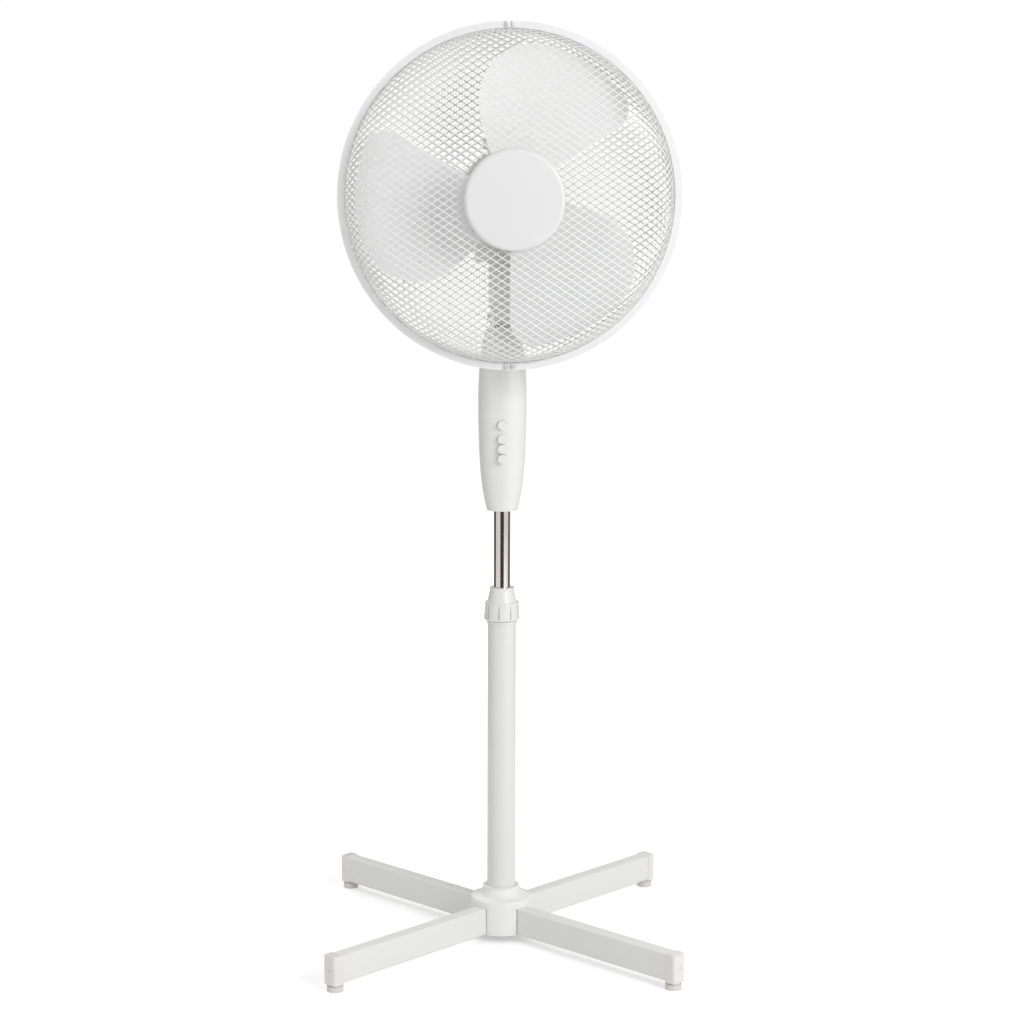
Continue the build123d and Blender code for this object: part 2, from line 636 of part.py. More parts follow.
# Buttons sit in a column on the front, with the off button apart at the top
BUTTON_MIDDLE = HOUSING_BOTTOM + BUTTON_HEIGHT
BUTTONS = (
    ("button_high", BUTTON_MIDDLE - BUTTON_PITCH),
    ("button_medium", BUTTON_MIDDLE),
    ("button_low", BUTTON_MIDDLE + BUTTON_PITCH),
    ("button_off", BUTTON_MIDDLE + BUTTON_PITCH + BUTTON_OFF_PITCH),
)
with BuildPart() as control_front_cover:
    add(housing_shell.part)
    split(bisect_by=Plane.XZ.offset(HOUSING_SEAM / 2), keep=Keep.TOP)
    with BuildSketch(Plane.XZ):
        for name, height in BUTTONS:
            with Locations((0, height)):
                Circle(BUTTON_DIAMETER / 2 + SLIDE_GAP)
    extrude(amount=HOUSING_BELLY_DEPTH, mode=Mode.SUBTRACT)
    with BuildSketch(Plane.XZ):
        with Locations(*SCREW_PLACES):
            Circle(COVER_SCREW_DIAMETER / 2 + PRESS_GAP)
    extrude(amount=COVER_SCREW_LENGTH - COVER_SCREW_SEAT + FREE_GAP, mode=Mode.SUBTRACT)
save(control_front_cover, "control_front_cover")

GLAND_Z = HOUSING_BOTTOM + GLAND_HEIGHT
GLAND_SEAT = HOUSING_BELLY_DEPTH / 2
with BuildPart() as control_rear_cover:
    add(housing_shell.part)
    split(bisect_by=Plane.XZ.offset(-HOUSING_SEAM / 2), keep=Keep.BOTTOM)
    with BuildSketch(Plane.XZ.offset(-GLAND_SEAT)):
        with Locations((0, GLAND_Z)):
            Circle(GLAND_PAD_DIAMETER / 2)
    extrude(amount=GLAND_PAD_DEPTH)
    with BuildSketch(Plane.XZ):
        with Locations(*SCREW_PLACES):
            Circle(COVER_SCREW_DIAMETER / 2 + SLIDE_GAP)
        with Locations((0, POLE_SCREW_Z)):
            Circle(POLE_SCREW_HEAD_DIAMETER / 2 + SLIDE_GAP)
        with Locations((0, GLAND_Z)):
            Circle(GLAND_DIAMETER / 2 + PRESS_GAP)
    extrude(amount=-HOUSING_BELLY_DEPTH, mode=Mode.SUBTRACT)
    with BuildSketch(Plane.XZ.offset(-COVER_SCREW_SEAT)):
        with Locations(*SCREW_PLACES):
            Circle(COVER_SCREW_HEAD_DIAMETER / 2 + SLIDE_GAP)
    extrude(amount=-HOUSING_BELLY_DEPTH, mode=Mode.SUBTRACT)
save(control_rear_cover, "control_rear_cover")

with BuildPart() as cover_screws:
    with BuildSketch(Plane.XZ.offset(-COVER_SCREW_SEAT)):
        with Locations(*SCREW_PLACES):
            Circle(COVER_SCREW_DIAMETER / 2)
    extrude(amount=COVER_SCREW_LENGTH)
    with BuildSketch(Plane.XZ.offset(-COVER_SCREW_SEAT)):
        with Locations(*SCREW_PLACES):
            Circle(COVER_SCREW_HEAD_DIAMETER / 2)
    extrude(amount=-COVER_SCREW_HEAD_HEIGHT)
save(cover_screws, "cover_screws")

# Pole socket on the housing floor, and the screw that pins the pole in it
with BuildPart() as pole_socket:
    with BuildSketch(Plane.XY.offset(HOUSING_BOTTOM + HOUSING_PLATE)):
        Circle(SOCKET_DIAMETER / 2)
    extrude(amount=INNER_POLE_GRIP)
    with BuildSketch(Plane.XY.offset(HOUSING_BOTTOM + HOUSING_PLATE)):
        Circle(INNER_POLE_DIAMETER / 2 + PRESS_GAP)
    extrude(amount=INNER_POLE_GRIP - HOUSING_PLATE, mode=Mode.SUBTRACT)
    with BuildSketch(Plane.XZ):
        with Locations((0, POLE_SCREW_Z)):
            Circle(POLE_SCREW_DIAMETER / 2 + PRESS_GAP)
    extrude(amount=-SOCKET_DIAMETER, mode=Mode.SUBTRACT)
save(pole_socket, "pole_socket")

with BuildPart() as pole_screw:
    with BuildSketch(Plane.XZ.offset(-SOCKET_DIAMETER / 2)):
        with Locations((0, POLE_SCREW_Z)):
            Circle(POLE_SCREW_HEAD_DIAMETER / 2)
    extrude(amount=-POLE_SCREW_HEAD_HEIGHT)
    with BuildSketch(Plane.XZ.offset(-SOCKET_DIAMETER / 2)):
        with Locations((0, POLE_SCREW_Z)):
            Circle(POLE_SCREW_DIAMETER / 2)
    extrude(amount=SOCKET_DIAMETER / 2 - INNER_BORE / 2)
save(pole_screw, "pole_screw")

# Cord gland in the rear of the housing
with BuildPart() as cord_gland:
    with BuildSketch(Plane.XZ.offset(GLAND_INSIDE_LENGTH - GLAND_SEAT)):
        with Locations((0, GLAND_Z)):
            Circle(GLAND_DIAMETER / 2)
    extrude(amount=-GLAND_INSIDE_LENGTH - GLAND_FLANGE_THICKNESS - GLAND_NOSE_LENGTH)
    with BuildSketch(Plane.XZ.offset(-GLAND_SEAT)):
        with Locations((0, GLAND_Z)):
            Circle(GLAND_FLANGE_DIAMETER / 2)
    extrude(amount=-GLAND_FLANGE_THICKNESS)
    with BuildSketch(Plane.XZ):
        with Locations((0, GLAND_Z)):
            Circle(GLAND_BORE_DIAMETER / 2)
    extrude(amount=-HOUSING_BELLY_DEPTH, mode=Mode.SUBTRACT)
save(cord_gland, "cord_gland")

# Push buttons and the switch block behind them
BUTTON_TIP = HOUSING_BELLY_DEPTH / 2 + BUTTON_PROUD
BUTTON_BACK = BUTTON_TIP - BUTTON_LENGTH
SWITCH_FACE = BUTTON_BACK - BUTTON_TRAVEL - FREE_GAP
for name, height in BUTTONS:
    with BuildPart() as button:
        with BuildSketch(Plane.XZ.offset(BUTTON_BACK)):
            with Locations((0, height)):
                Circle(BUTTON_DIAMETER / 2)
        extrude(amount=BUTTON_LENGTH)
        fillet(button.faces().sort_by(Axis.Y)[0].edges(), BUTTON_ROUND)
        with BuildSketch(Plane.XZ.offset(BUTTON_BACK)):
            with Locations((0, height)):
                Circle(BUTTON_STEM_DIAMETER / 2)
        extrude(amount=-BUTTON_STEM_LENGTH)
    save(button, name)

SWITCH_TOP = BUTTONS[-1][1] + SWITCH_MARGIN
SWITCH_BOTTOM = BUTTONS[0][1] - SWITCH_MARGIN
with BuildPart() as switch_block:
    with BuildSketch(Plane.XZ.offset(SWITCH_FACE)):
        with Locations((0, (SWITCH_TOP + SWITCH_BOTTOM) / 2)):
            Rectangle(SWITCH_WIDTH, SWITCH_TOP - SWITCH_BOTTOM)
    extrude(amount=-SWITCH_DEPTH)
    with BuildSketch(Plane.XZ.offset(SWITCH_FACE)):
        for name, height in BUTTONS:
            with Locations((0, height)):
                Circle(BUTTON_STEM_DIAMETER / 2 + SLIDE_GAP)
    extrude(amount=-BUTTON_STEM_LENGTH, mode=Mode.SUBTRACT)
save(switch_block, "switch_block")

# Tilt fork: a round post out of the housing's top, slotted for the neck's tongue
SLOT_WIDTH = TONGUE_WIDTH + 2 * SLIDE_GAP
SLOT_FLOOR = TILT_HEIGHT - TONGUE_RADIUS - FREE_GAP
FORK_BOTTOM = HOUSING_TOP - HOUSING_PLATE - FORK_LEG_LENGTH
with BuildPart() as tilt_fork:
    with BuildSketch(Plane.XY.offset(FORK_BOTTOM)):
        Circle(FORK_DIAMETER / 2)
    extrude(amount=TILT_HEIGHT + CHEEK_RADIUS - FORK_BOTTOM)
    with BuildSketch(Plane.XY.offset(HOUSING_TOP - HOUSING_PLATE)):
        Circle(FORK_FLANGE_DIAMETER / 2)
    extrude(amount=-FORK_FLANGE_HEIGHT)
    with BuildSketch(Plane.XY.offset(SLOT_FLOOR)):
        Rectangle(SLOT_WIDTH, FORK_DIAMETER)
    extrude(amount=FORK_DIAMETER, mode=Mode.SUBTRACT)
    with BuildSketch(Plane.YZ):
        with Locations((0, TILT_HEIGHT + FORK_DIAMETER / 2)):
            Rectangle(2 * FORK_DIAMETER, FORK_DIAMETER)
        with Locations((0, TILT_HEIGHT)):
            Circle(CHEEK_RADIUS, mode=Mode.SUBTRACT)
    extrude(amount=FORK_DIAMETER, both=True, mode=Mode.SUBTRACT)
    with BuildSketch(Plane.YZ):
        with Locations((0, TILT_HEIGHT)):
            Circle(TILT_BOLT_DIAMETER / 2 + RUN_GAP)
    extrude(amount=FORK_DIAMETER, both=True, mode=Mode.SUBTRACT)
    for side in (-1, 1):
        with BuildSketch(Plane.YZ.offset(side * TILT_SEAT_WIDTH / 2)):
            with Locations((0, TILT_HEIGHT)):
                Circle(TILT_KNOB_DIAMETER / 2 + FREE_GAP)
        extrude(amount=side * FORK_DIAMETER, mode=Mode.SUBTRACT)
save(tilt_fork, "tilt_fork")

# Tilt bolt across the fork, and the hand knob on its end
with BuildPart() as tilt_bolt:
    with BuildSketch(Plane.YZ.offset(-TILT_SEAT_WIDTH / 2)):
        with Locations((0, TILT_HEIGHT)):
            Circle(TILT_BOLT_HEAD_DIAMETER / 2)
    extrude(amount=-TILT_BOLT_HEAD_HEIGHT)
    with BuildSketch(Plane.YZ.offset(-TILT_SEAT_WIDTH / 2)):
        with Locations((0, TILT_HEIGHT)):
            Circle(TILT_BOLT_DIAMETER / 2)
    extrude(amount=TILT_SEAT_WIDTH + FREE_GAP + TILT_BOLT_THREAD)
save(tilt_bolt, "tilt_bolt")

TILT_KNOB_START = TILT_SEAT_WIDTH / 2 + FREE_GAP
with BuildPart() as tilt_knob:
    with BuildSketch(Plane.YZ.offset(TILT_KNOB_START)):
        with Locations((0, TILT_HEIGHT)):
            Circle(TILT_KNOB_DIAMETER / 2)
            with PolarLocations(TILT_KNOB_DIAMETER / 2 + TILT_KNOB_SCALLOP_LIFT, TILT_KNOB_LOBES):
                Circle(TILT_KNOB_SCALLOP / 2, mode=Mode.SUBTRACT)
    extrude(amount=TILT_KNOB_LENGTH)
    with BuildSketch(Plane.YZ.offset(TILT_KNOB_START)):
        with Locations((0, TILT_HEIGHT)):
            Circle(TILT_BOLT_DIAMETER / 2 + RUN_GAP)
    extrude(amount=TILT_BOLT_THREAD + FREE_GAP, mode=Mode.SUBTRACT)
save(tilt_knob, "tilt_knob")

# Neck: a tongue in the fork and a round column that carries the swivel bush and the link's pin
LINK_PIN_HEIGHT = LINK_LIFT + LINK_THICKNESS + FREE_GAP
TONGUE = Plane(NECK.origin, x_dir=NECK.y_dir, z_dir=NECK.x_dir)
with BuildPart() as neck_column:
    with BuildSketch(NECK.offset(NECK_SHOULDER)):
        Circle(NECK_DIAMETER / 2)
    extrude(amount=NECK_LENGTH)
    with BuildSketch(TONGUE):
        Circle(TONGUE_RADIUS)
        with Locations((0, NECK_SHOULDER / 2)):
            Rectangle(2 * TONGUE_RADIUS, NECK_SHOULDER)
    extrude(amount=TONGUE_WIDTH / 2, both=True)
    with BuildSketch(TONGUE):
        Circle(TILT_BOLT_DIAMETER / 2 + RUN_GAP)
    extrude(amount=TONGUE_WIDTH, both=True, mode=Mode.SUBTRACT)
    with BuildSketch(NECK.offset(NECK_TOP)):
        Circle(BUSH_DIAMETER / 2 + PRESS_GAP)
    extrude(amount=-PIVOT_DEPTH - FREE_GAP, mode=Mode.SUBTRACT)
    with BuildSketch(NECK.offset(NECK_TOP)):
        with Locations((LINK_ARM, 0)):
            Circle(LINK_PIN_DIAMETER / 2)
    extrude(amount=LINK_PIN_HEIGHT)
save(neck_column, "neck_column")

with BuildPart() as swivel_bush:
    with BuildSketch(NECK.offset(NECK_TOP)):
        Circle(BUSH_DIAMETER / 2)
        Circle(PIVOT_DIAMETER / 2 + RUN_GAP, mode=Mode.SUBTRACT)
    extrude(amount=-PIVOT_DEPTH)
save(swivel_bush, "swivel_bush")

with BuildPart() as pivot_shaft:
    with BuildSketch(SWIVEL.offset(NECK_TOP - PIVOT_DEPTH)):
        Circle(PIVOT_DIAMETER / 2)
    extrude(amount=PIVOT_LENGTH)
save(pivot_shaft, "pivot_shaft")

# Swing link: pivots on the neck's pin, its wide eye goes round the crank's pin
LINK_START = NECK.from_local_coords(Vector(LINK_ARM, 0, NECK_TOP + LINK_LIFT))
LINK = Plane(LINK_START, x_dir=SWIVEL.x_dir, z_dir=NECK.z_dir)
with BuildPart() as swing_link:
    with BuildSketch(LINK):
        with Locations((0, LINK_LENGTH / 2)):
            Rectangle(LINK_WIDTH, LINK_LENGTH)
        Circle(LINK_PIN_EYE_DIAMETER / 2)
        Circle(LINK_PIN_DIAMETER / 2 + RUN_GAP, mode=Mode.SUBTRACT)
        with Locations((0, LINK_LENGTH)):
            Circle(LINK_EYE_DIAMETER / 2)
            Circle(LINK_EYE_BORE / 2, mode=Mode.SUBTRACT)
    extrude(amount=LINK_THICKNESS)
save(swing_link, "swing_link")

# Swing crank: a disc under the gearbox with an offset pin; a quarter turn either way is the full swing
CRANK_ARM = LINK_ARM * sin(radians(SWING_HALF_RANGE))
CRANK_X = LINK_ARM - CRANK_ARM + CRANK_OFFSET
CRANK_TURN = HEAD_YAW * 90 / SWING_HALF_RANGE
CRANK_BOTTOM = NECK_TOP + LINK_LIFT + LINK_THICKNESS + CRANK_LIFT
GEARBOX_BOTTOM = SHAFT_HEIGHT - GEARBOX_BELOW
with BuildPart() as swing_crank:
    with BuildSketch(SWIVEL.offset(CRANK_BOTTOM)):
        with Locations((CRANK_X, LINK_LENGTH)):
            Circle(CRANK_DIAMETER / 2)
    extrude(amount=CRANK_THICKNESS)
    with BuildSketch(SWIVEL.offset(CRANK_BOTTOM)):
        with Locations((CRANK_X, LINK_LENGTH)):
            Circle(CRANK_SHAFT_DIAMETER / 2)
    extrude(amount=GEARBOX_BOTTOM + GEARBOX_WALL - CRANK_BOTTOM)
    with BuildSketch(SWIVEL.offset(CRANK_BOTTOM)):
        with Locations(
            (
                CRANK_X + CRANK_ARM * cos(radians(CRANK_TURN)),
                LINK_LENGTH - CRANK_ARM * sin(radians(CRANK_TURN)),
            )
        ):
            Circle(LINK_PIN_DIAMETER / 2)
    extrude(amount=-CRANK_LIFT - LINK_THICKNESS)
save(swing_crank, "swing_crank")

# Motor brackets: cups that clamp the stator and hold the bearings
FRONT_PLATE = STATOR_FRONT + BRACKET_SPACE
REAR_PLATE = -STATOR_BACK - BRACKET_SPACE
BRACKET_RADIUS = STATOR_DIAMETER / 2 + BRACKET_RIM
BOSS_RADIUS = BEARING_DIAMETER / 2 + BEARING_BOSS_WALL
for name, edge, plate, way in (
    ("motor_front_bracket", STATOR_FRONT, FRONT_PLATE, 1),
    ("motor_rear_bracket", -STATOR_BACK, REAR_PLATE, -1),
):
    with BuildPart() as bracket:
        with BuildSketch(PROFILE):
            with BuildLine():
                Polyline(
                    (plate, BEARING_DIAMETER / 2 + PRESS_GAP),
                    (plate, STATOR_DIAMETER / 2 + PRESS_GAP),
                    (edge - way * BRACKET_OVERLAP, STATOR_DIAMETER / 2 + PRESS_GAP),
                    (edge - way * BRACKET_OVERLAP, BRACKET_RADIUS),
                    (plate + way * BRACKET_PLATE, BRACKET_RADIUS),
                    (plate + way * BRACKET_PLATE, BOSS_RADIUS),
                    (plate + way * (BRACKET_PLATE + BEARING_BOSS_LENGTH), BOSS_RADIUS),
                    (plate + way * (BRACKET_PLATE + BEARING_BOSS_LENGTH), BEARING_DIAMETER / 2 + PRESS_GAP),
                    close=True,
                )
            make_face()
        revolve(axis=SHAFT_AXIS)
        with BuildSketch(FACE.offset(plate)):
            with PolarLocations(MOTOR_BOLT_RADIUS, MOTOR_BOLT_COUNT, start_angle=MOTOR_BOLT_ANGLE):
                Circle(MOTOR_BOLT_DIAMETER / 2 + PRESS_GAP)
        extrude(amount=way * BRACKET_PLATE, mode=Mode.SUBTRACT)
    save(bracket, name)

FRONT_BEARING_END = FRONT_PLATE + BRACKET_PLATE + BEARING_BOSS_LENGTH
REAR_BEARING_END = REAR_PLATE - BRACKET_PLATE - BEARING_BOSS_LENGTH
for name, start in (
    ("front_bearing", FRONT_BEARING_END - BEARING_LENGTH),
    ("rear_bearing", REAR_BEARING_END),
):
    with BuildPart() as bearing:
        with BuildSketch(PROFILE):
            band(start, start + BEARING_LENGTH, SHAFT_DIAMETER / 2 + RUN_GAP, BEARING_DIAMETER / 2)
        revolve(axis=SHAFT_AXIS)
    save(bearing, name)

with BuildPart() as motor_bolts:
    with BuildSketch(FACE.offset(REAR_PLATE - BRACKET_PLATE)):
        with PolarLocations(MOTOR_BOLT_RADIUS, MOTOR_BOLT_COUNT, start_angle=MOTOR_BOLT_ANGLE):
            Circle(MOTOR_BOLT_DIAMETER / 2)
    extrude(amount=FRONT_PLATE - REAR_PLATE + 2 * BRACKET_PLATE)
    with BuildSketch(FACE.offset(FRONT_PLATE + BRACKET_PLATE)):
        with PolarLocations(MOTOR_BOLT_RADIUS, MOTOR_BOLT_COUNT, start_angle=MOTOR_BOLT_ANGLE):
            Circle(MOTOR_BOLT_HEAD_DIAMETER / 2)
    extrude(amount=MOTOR_BOLT_HEAD_HEIGHT)
save(motor_bolts, "motor_bolts")

# Stator, windings and rotor
with BuildPart() as stator_core:
    with BuildSketch(FACE.offset(-STATOR_BACK)):
        Circle(STATOR_DIAMETER / 2)
        Circle(STATOR_BORE_DIAMETER / 2, mode=Mode.SUBTRACT)
        with PolarLocations(MOTOR_BOLT_RADIUS, MOTOR_BOLT_COUNT, start_angle=MOTOR_BOLT_ANGLE):
            Circle(MOTOR_BOLT_DIAMETER / 2 + SLIDE_GAP, mode=Mode.SUBTRACT)
    extrude(amount=STATOR_BACK + STATOR_FRONT)
save(stator_core, "stator_core")

with BuildPart() as stator_windings:
    for start in (STATOR_FRONT, -STATOR_BACK - WINDING_LENGTH):
        with BuildSketch(PROFILE):
            middle = (WINDING_DIAMETER + WINDING_BORE_DIAMETER) / 4
            with Locations((start + WINDING_LENGTH / 2, middle)):
                RectangleRounded(
                    WINDING_LENGTH, (WINDING_DIAMETER - WINDING_BORE_DIAMETER) / 2, WINDING_ROUND
                )
        revolve(axis=SHAFT_AXIS)
save(stator_windings, "stator_windings")

with BuildPart() as rotor_core:
    with BuildSketch(FACE.offset(-STATOR_BACK)):
        Circle(ROTOR_DIAMETER / 2)
        Circle(SHAFT_DIAMETER / 2 + PRESS_GAP, mode=Mode.SUBTRACT)
    extrude(amount=STATOR_BACK + STATOR_FRONT)
save(rotor_core, "rotor_core")

HUB_BACK = BLADE_FORWARD - BLADE_HUB_BACK
HUB_FRONT = BLADE_FORWARD + BLADE_HUB_FRONT
SHAFT_FRONT = HUB_FRONT + BLADE_NUT_THREAD
with BuildPart() as motor_shaft:
    with BuildSketch(FACE.offset(-SHAFT_BACK_LENGTH)):
        Circle(SHAFT_DIAMETER / 2)
    extrude(amount=SHAFT_BACK_LENGTH + SHAFT_FRONT)
save(motor_shaft, "motor_shaft")

# Gearbox behind the motor: case, worm wheel on the clutch shaft
GEARBOX_FRONT = REAR_BEARING_END - GEARBOX_BACK_GAP
GEARBOX_MIDDLE = -GEARBOX_FRONT + GEARBOX_LENGTH / 2
GEARBOX_HEIGHT = GEARBOX_BELOW + GEARBOX_ABOVE
CLUTCH_PLACE = (-CLUTCH_OFFSET, GEARBOX_MIDDLE)
with BuildPart() as gearbox_case:
    with BuildSketch(HEAD.offset(-GEARBOX_BELOW)):
        with Locations((0, GEARBOX_MIDDLE)):
            Rectangle(GEARBOX_WIDTH, GEARBOX_LENGTH)
    extrude(amount=GEARBOX_HEIGHT)
    with BuildSketch(HEAD.offset(-GEARBOX_BELOW + GEARBOX_WALL)):
        with Locations((0, GEARBOX_MIDDLE)):
            Rectangle(GEARBOX_WIDTH - 2 * GEARBOX_WALL, GEARBOX_LENGTH - 2 * GEARBOX_WALL)
    extrude(amount=GEARBOX_HEIGHT - 2 * GEARBOX_WALL, mode=Mode.SUBTRACT)
    with BuildSketch(FACE):
        Circle(SHAFT_DIAMETER / 2 + FREE_GAP)
    extrude(amount=GEARBOX_FRONT - 2 * GEARBOX_WALL, mode=Mode.SUBTRACT)
    with BuildSketch(HEAD.offset(-GEARBOX_BELOW)):
        with Locations((CRANK_X, LINK_LENGTH)):
            Circle(CRANK_SHAFT_DIAMETER / 2 + RUN_GAP)
    extrude(amount=GEARBOX_WALL, mode=Mode.SUBTRACT)
    with BuildSketch(HEAD.offset(GEARBOX_ABOVE)):
        with Locations(CLUTCH_PLACE):
            Circle(SWING_KNOB_STEM_DIAMETER / 2 + SLIDE_GAP)
    extrude(amount=-GEARBOX_WALL, mode=Mode.SUBTRACT)
save(gearbox_case, "gearbox_case")

with BuildPart() as worm_wheel:
    with BuildSketch(HEAD.offset(-WORM_WHEEL_HEIGHT / 2)):
        with Locations(CLUTCH_PLACE):
            Circle(WORM_WHEEL_DIAMETER / 2)
    extrude(amount=WORM_WHEEL_HEIGHT)
    with BuildSketch(HEAD.offset(-CLUTCH_SHAFT_RISE)):
        with Locations(CLUTCH_PLACE):
            Circle(CLUTCH_SHAFT_DIAMETER / 2)
    extrude(amount=CLUTCH_SHAFT_RISE + WORM_WHEEL_HEIGHT)
save(worm_wheel, "worm_wheel")

# Swivel yoke: a boss on the pivot shaft and a saddle under the motor
SADDLE_RADIUS = BRACKET_RADIUS + YOKE_THICKNESS
with BuildPart() as swivel_yoke:
    with BuildSketch(HEAD.offset(-SADDLE_RADIUS)):
        with Locations((0, -(FRONT_PLATE + REAR_PLATE) / 2)):
            Rectangle(YOKE_WIDTH, FRONT_PLATE - REAR_PLATE)
    extrude(amount=SADDLE_RADIUS)
    with BuildSketch(FACE.offset(REAR_PLATE)):
        Circle(SADDLE_RADIUS)
    extrude(amount=FRONT_PLATE - REAR_PLATE, mode=Mode.INTERSECT)
    with BuildSketch(SWIVEL.offset(NECK_TOP + YOKE_ABOVE_NECK)):
        Circle(YOKE_BOSS_DIAMETER / 2)
    extrude(amount=SHAFT_HEIGHT - BRACKET_RADIUS - NECK_TOP - YOKE_ABOVE_NECK)
    with BuildSketch(FACE.offset(REAR_PLATE - YOKE_WIDTH)):
        Circle(BRACKET_RADIUS + PRESS_GAP)
    extrude(amount=FRONT_PLATE - REAR_PLATE + 2 * YOKE_WIDTH, mode=Mode.SUBTRACT)
    with BuildSketch(SWIVEL.offset(NECK_TOP)):
        Circle(PIVOT_DIAMETER / 2 + PRESS_GAP)
    extrude(amount=SHAFT_HEIGHT, mode=Mode.SUBTRACT)
save(swivel_yoke, "swivel_yoke")

# Motor front cover: a cup with a threaded nose for the rear guard
COVER_RADIUS = MOTOR_COVER_DIAMETER / 2
with BuildPart() as motor_front_cover:
    with BuildSketch(PROFILE):
        with BuildLine():
            rim = FilletPolyline(
                (MOTOR_COVER_JOINT, COVER_RADIUS),
                (MOTOR_FACE, COVER_RADIUS),
                (MOTOR_FACE, NOSE_DIAMETER / 2),
                radius=MOTOR_COVER_ROUND,
            )
            Polyline(
                rim @ 1,
                (MOTOR_FACE + NOSE_LENGTH, NOSE_DIAMETER / 2),
                (MOTOR_FACE + NOSE_LENGTH, NOSE_BORE_DIAMETER / 2),
                (MOTOR_FACE - MOTOR_COVER_WALL, NOSE_BORE_DIAMETER / 2),
            )
            inside = FilletPolyline(
                (MOTOR_FACE - MOTOR_COVER_WALL, NOSE_BORE_DIAMETER / 2),
                (MOTOR_FACE - MOTOR_COVER_WALL, COVER_RADIUS - MOTOR_COVER_WALL),
                (MOTOR_COVER_JOINT, COVER_RADIUS - MOTOR_COVER_WALL),
                radius=MOTOR_COVER_ROUND - MOTOR_COVER_WALL,
            )
            Line(inside @ 1, rim @ 0)
        make_face()
    revolve(axis=SHAFT_AXIS)
save(motor_front_cover, "motor_front_cover")


def tail_outline(shrink):
    """Draw half of the rear cover's long section, from the joint back to the closed end."""
    joint = MOTOR_COVER_JOINT - MOTOR_COVER_JOINT_GAP
    with BuildLine() as path:
        tail = FilletPolyline(
            (joint, COVER_RADIUS - shrink),
            (-MOTOR_COVER_BACK + MOTOR_TAIL_LENGTH, MOTOR_TAIL_DIAMETER / 2 - shrink),
            (-MOTOR_COVER_BACK + shrink, MOTOR_END_DIAMETER / 2 - shrink / 2),
            (-MOTOR_COVER_BACK + shrink, 0),
            radius=MOTOR_COVER_ROUND,
        )
        Polyline(tail @ 1, (joint, 0), tail @ 0)
    make_face(path.edges())


def skirt_outline(shrink):
    """Draw the plan of the skirt round the swivel and the swing drive."""
    Circle(SKIRT_RADIUS - shrink)
    with Locations((SKIRT_TAIL_OFFSET, LINK_LENGTH)):
        Circle(SKIRT_TAIL_RADIUS - shrink)
    make_hull()


# Motor rear cover: a vented tail with a skirt that hides the swing drive
SKIRT_BOTTOM = NECK_TOP - SKIRT_BELOW_NECK_TOP
with BuildPart() as motor_rear_cover:
    with BuildSketch(PROFILE):
        tail_outline(0)
    revolve(axis=SHAFT_AXIS)
    with BuildSketch(SWIVEL.offset(SKIRT_BOTTOM)):
        skirt_outline(0)
    extrude(amount=SHAFT_HEIGHT - BRACKET_RADIUS - SKIRT_BOTTOM)
    with BuildSketch(PROFILE):
        tail_outline(MOTOR_COVER_WALL)
    revolve(axis=SHAFT_AXIS, mode=Mode.SUBTRACT)
    with BuildSketch(SWIVEL.offset(SKIRT_BOTTOM)):
        skirt_outline(MOTOR_COVER_WALL)
    extrude(amount=SHAFT_HEIGHT - BRACKET_RADIUS - SKIRT_BOTTOM, mode=Mode.SUBTRACT)
    with BuildSketch(FACE.offset(MOTOR_COVER_JOINT - MOTOR_COVER_JOINT_GAP)):
        Circle(COVER_RADIUS + MOTOR_COVER_JOINT_GAP)
    extrude(amount=MOTOR_FACE, mode=Mode.SUBTRACT)
    with BuildSketch(FACE.offset(-MOTOR_COVER_BACK)):
        with PolarLocations(VENT_RADIUS, VENT_COUNT):
            SlotOverall(VENT_LENGTH, VENT_WIDTH)
    extrude(amount=MOTOR_COVER_ROUND, mode=Mode.SUBTRACT)
    with BuildSketch(HEAD):
        with Locations(CLUTCH_PLACE):
            Circle(SWING_KNOB_STEM_DIAMETER / 2 + FREE_GAP)
    extrude(amount=COVER_RADIUS, mode=Mode.SUBTRACT)
save(motor_rear_cover, "motor_rear_cover")

# Swing knob: pushed down it drives the swing, pulled up it frees it
KNOB_BOTTOM = MOTOR_TAIL_DIAMETER / 2 + SWING_KNOB_GAP
with BuildPart() as swing_knob:
    with BuildSketch(HEAD.offset(KNOB_BOTTOM)):
        with Locations(CLUTCH_PLACE):
            Circle(SWING_KNOB_DIAMETER / 2)
    extrude(amount=SWING_KNOB_HEIGHT)
    fillet(swing_knob.edges().sort_by(Axis(HEAD.origin, HEAD.z_dir))[-1], SWING_KNOB_ROUND)
    with BuildSketch(HEAD.offset(KNOB_BOTTOM)):
        with Locations(CLUTCH_PLACE):
            Circle(SWING_KNOB_STEM_DIAMETER / 2)
    extrude(amount=WORM_WHEEL_HEIGHT + FREE_GAP - KNOB_BOTTOM)
save(swing_knob, "swing_knob")

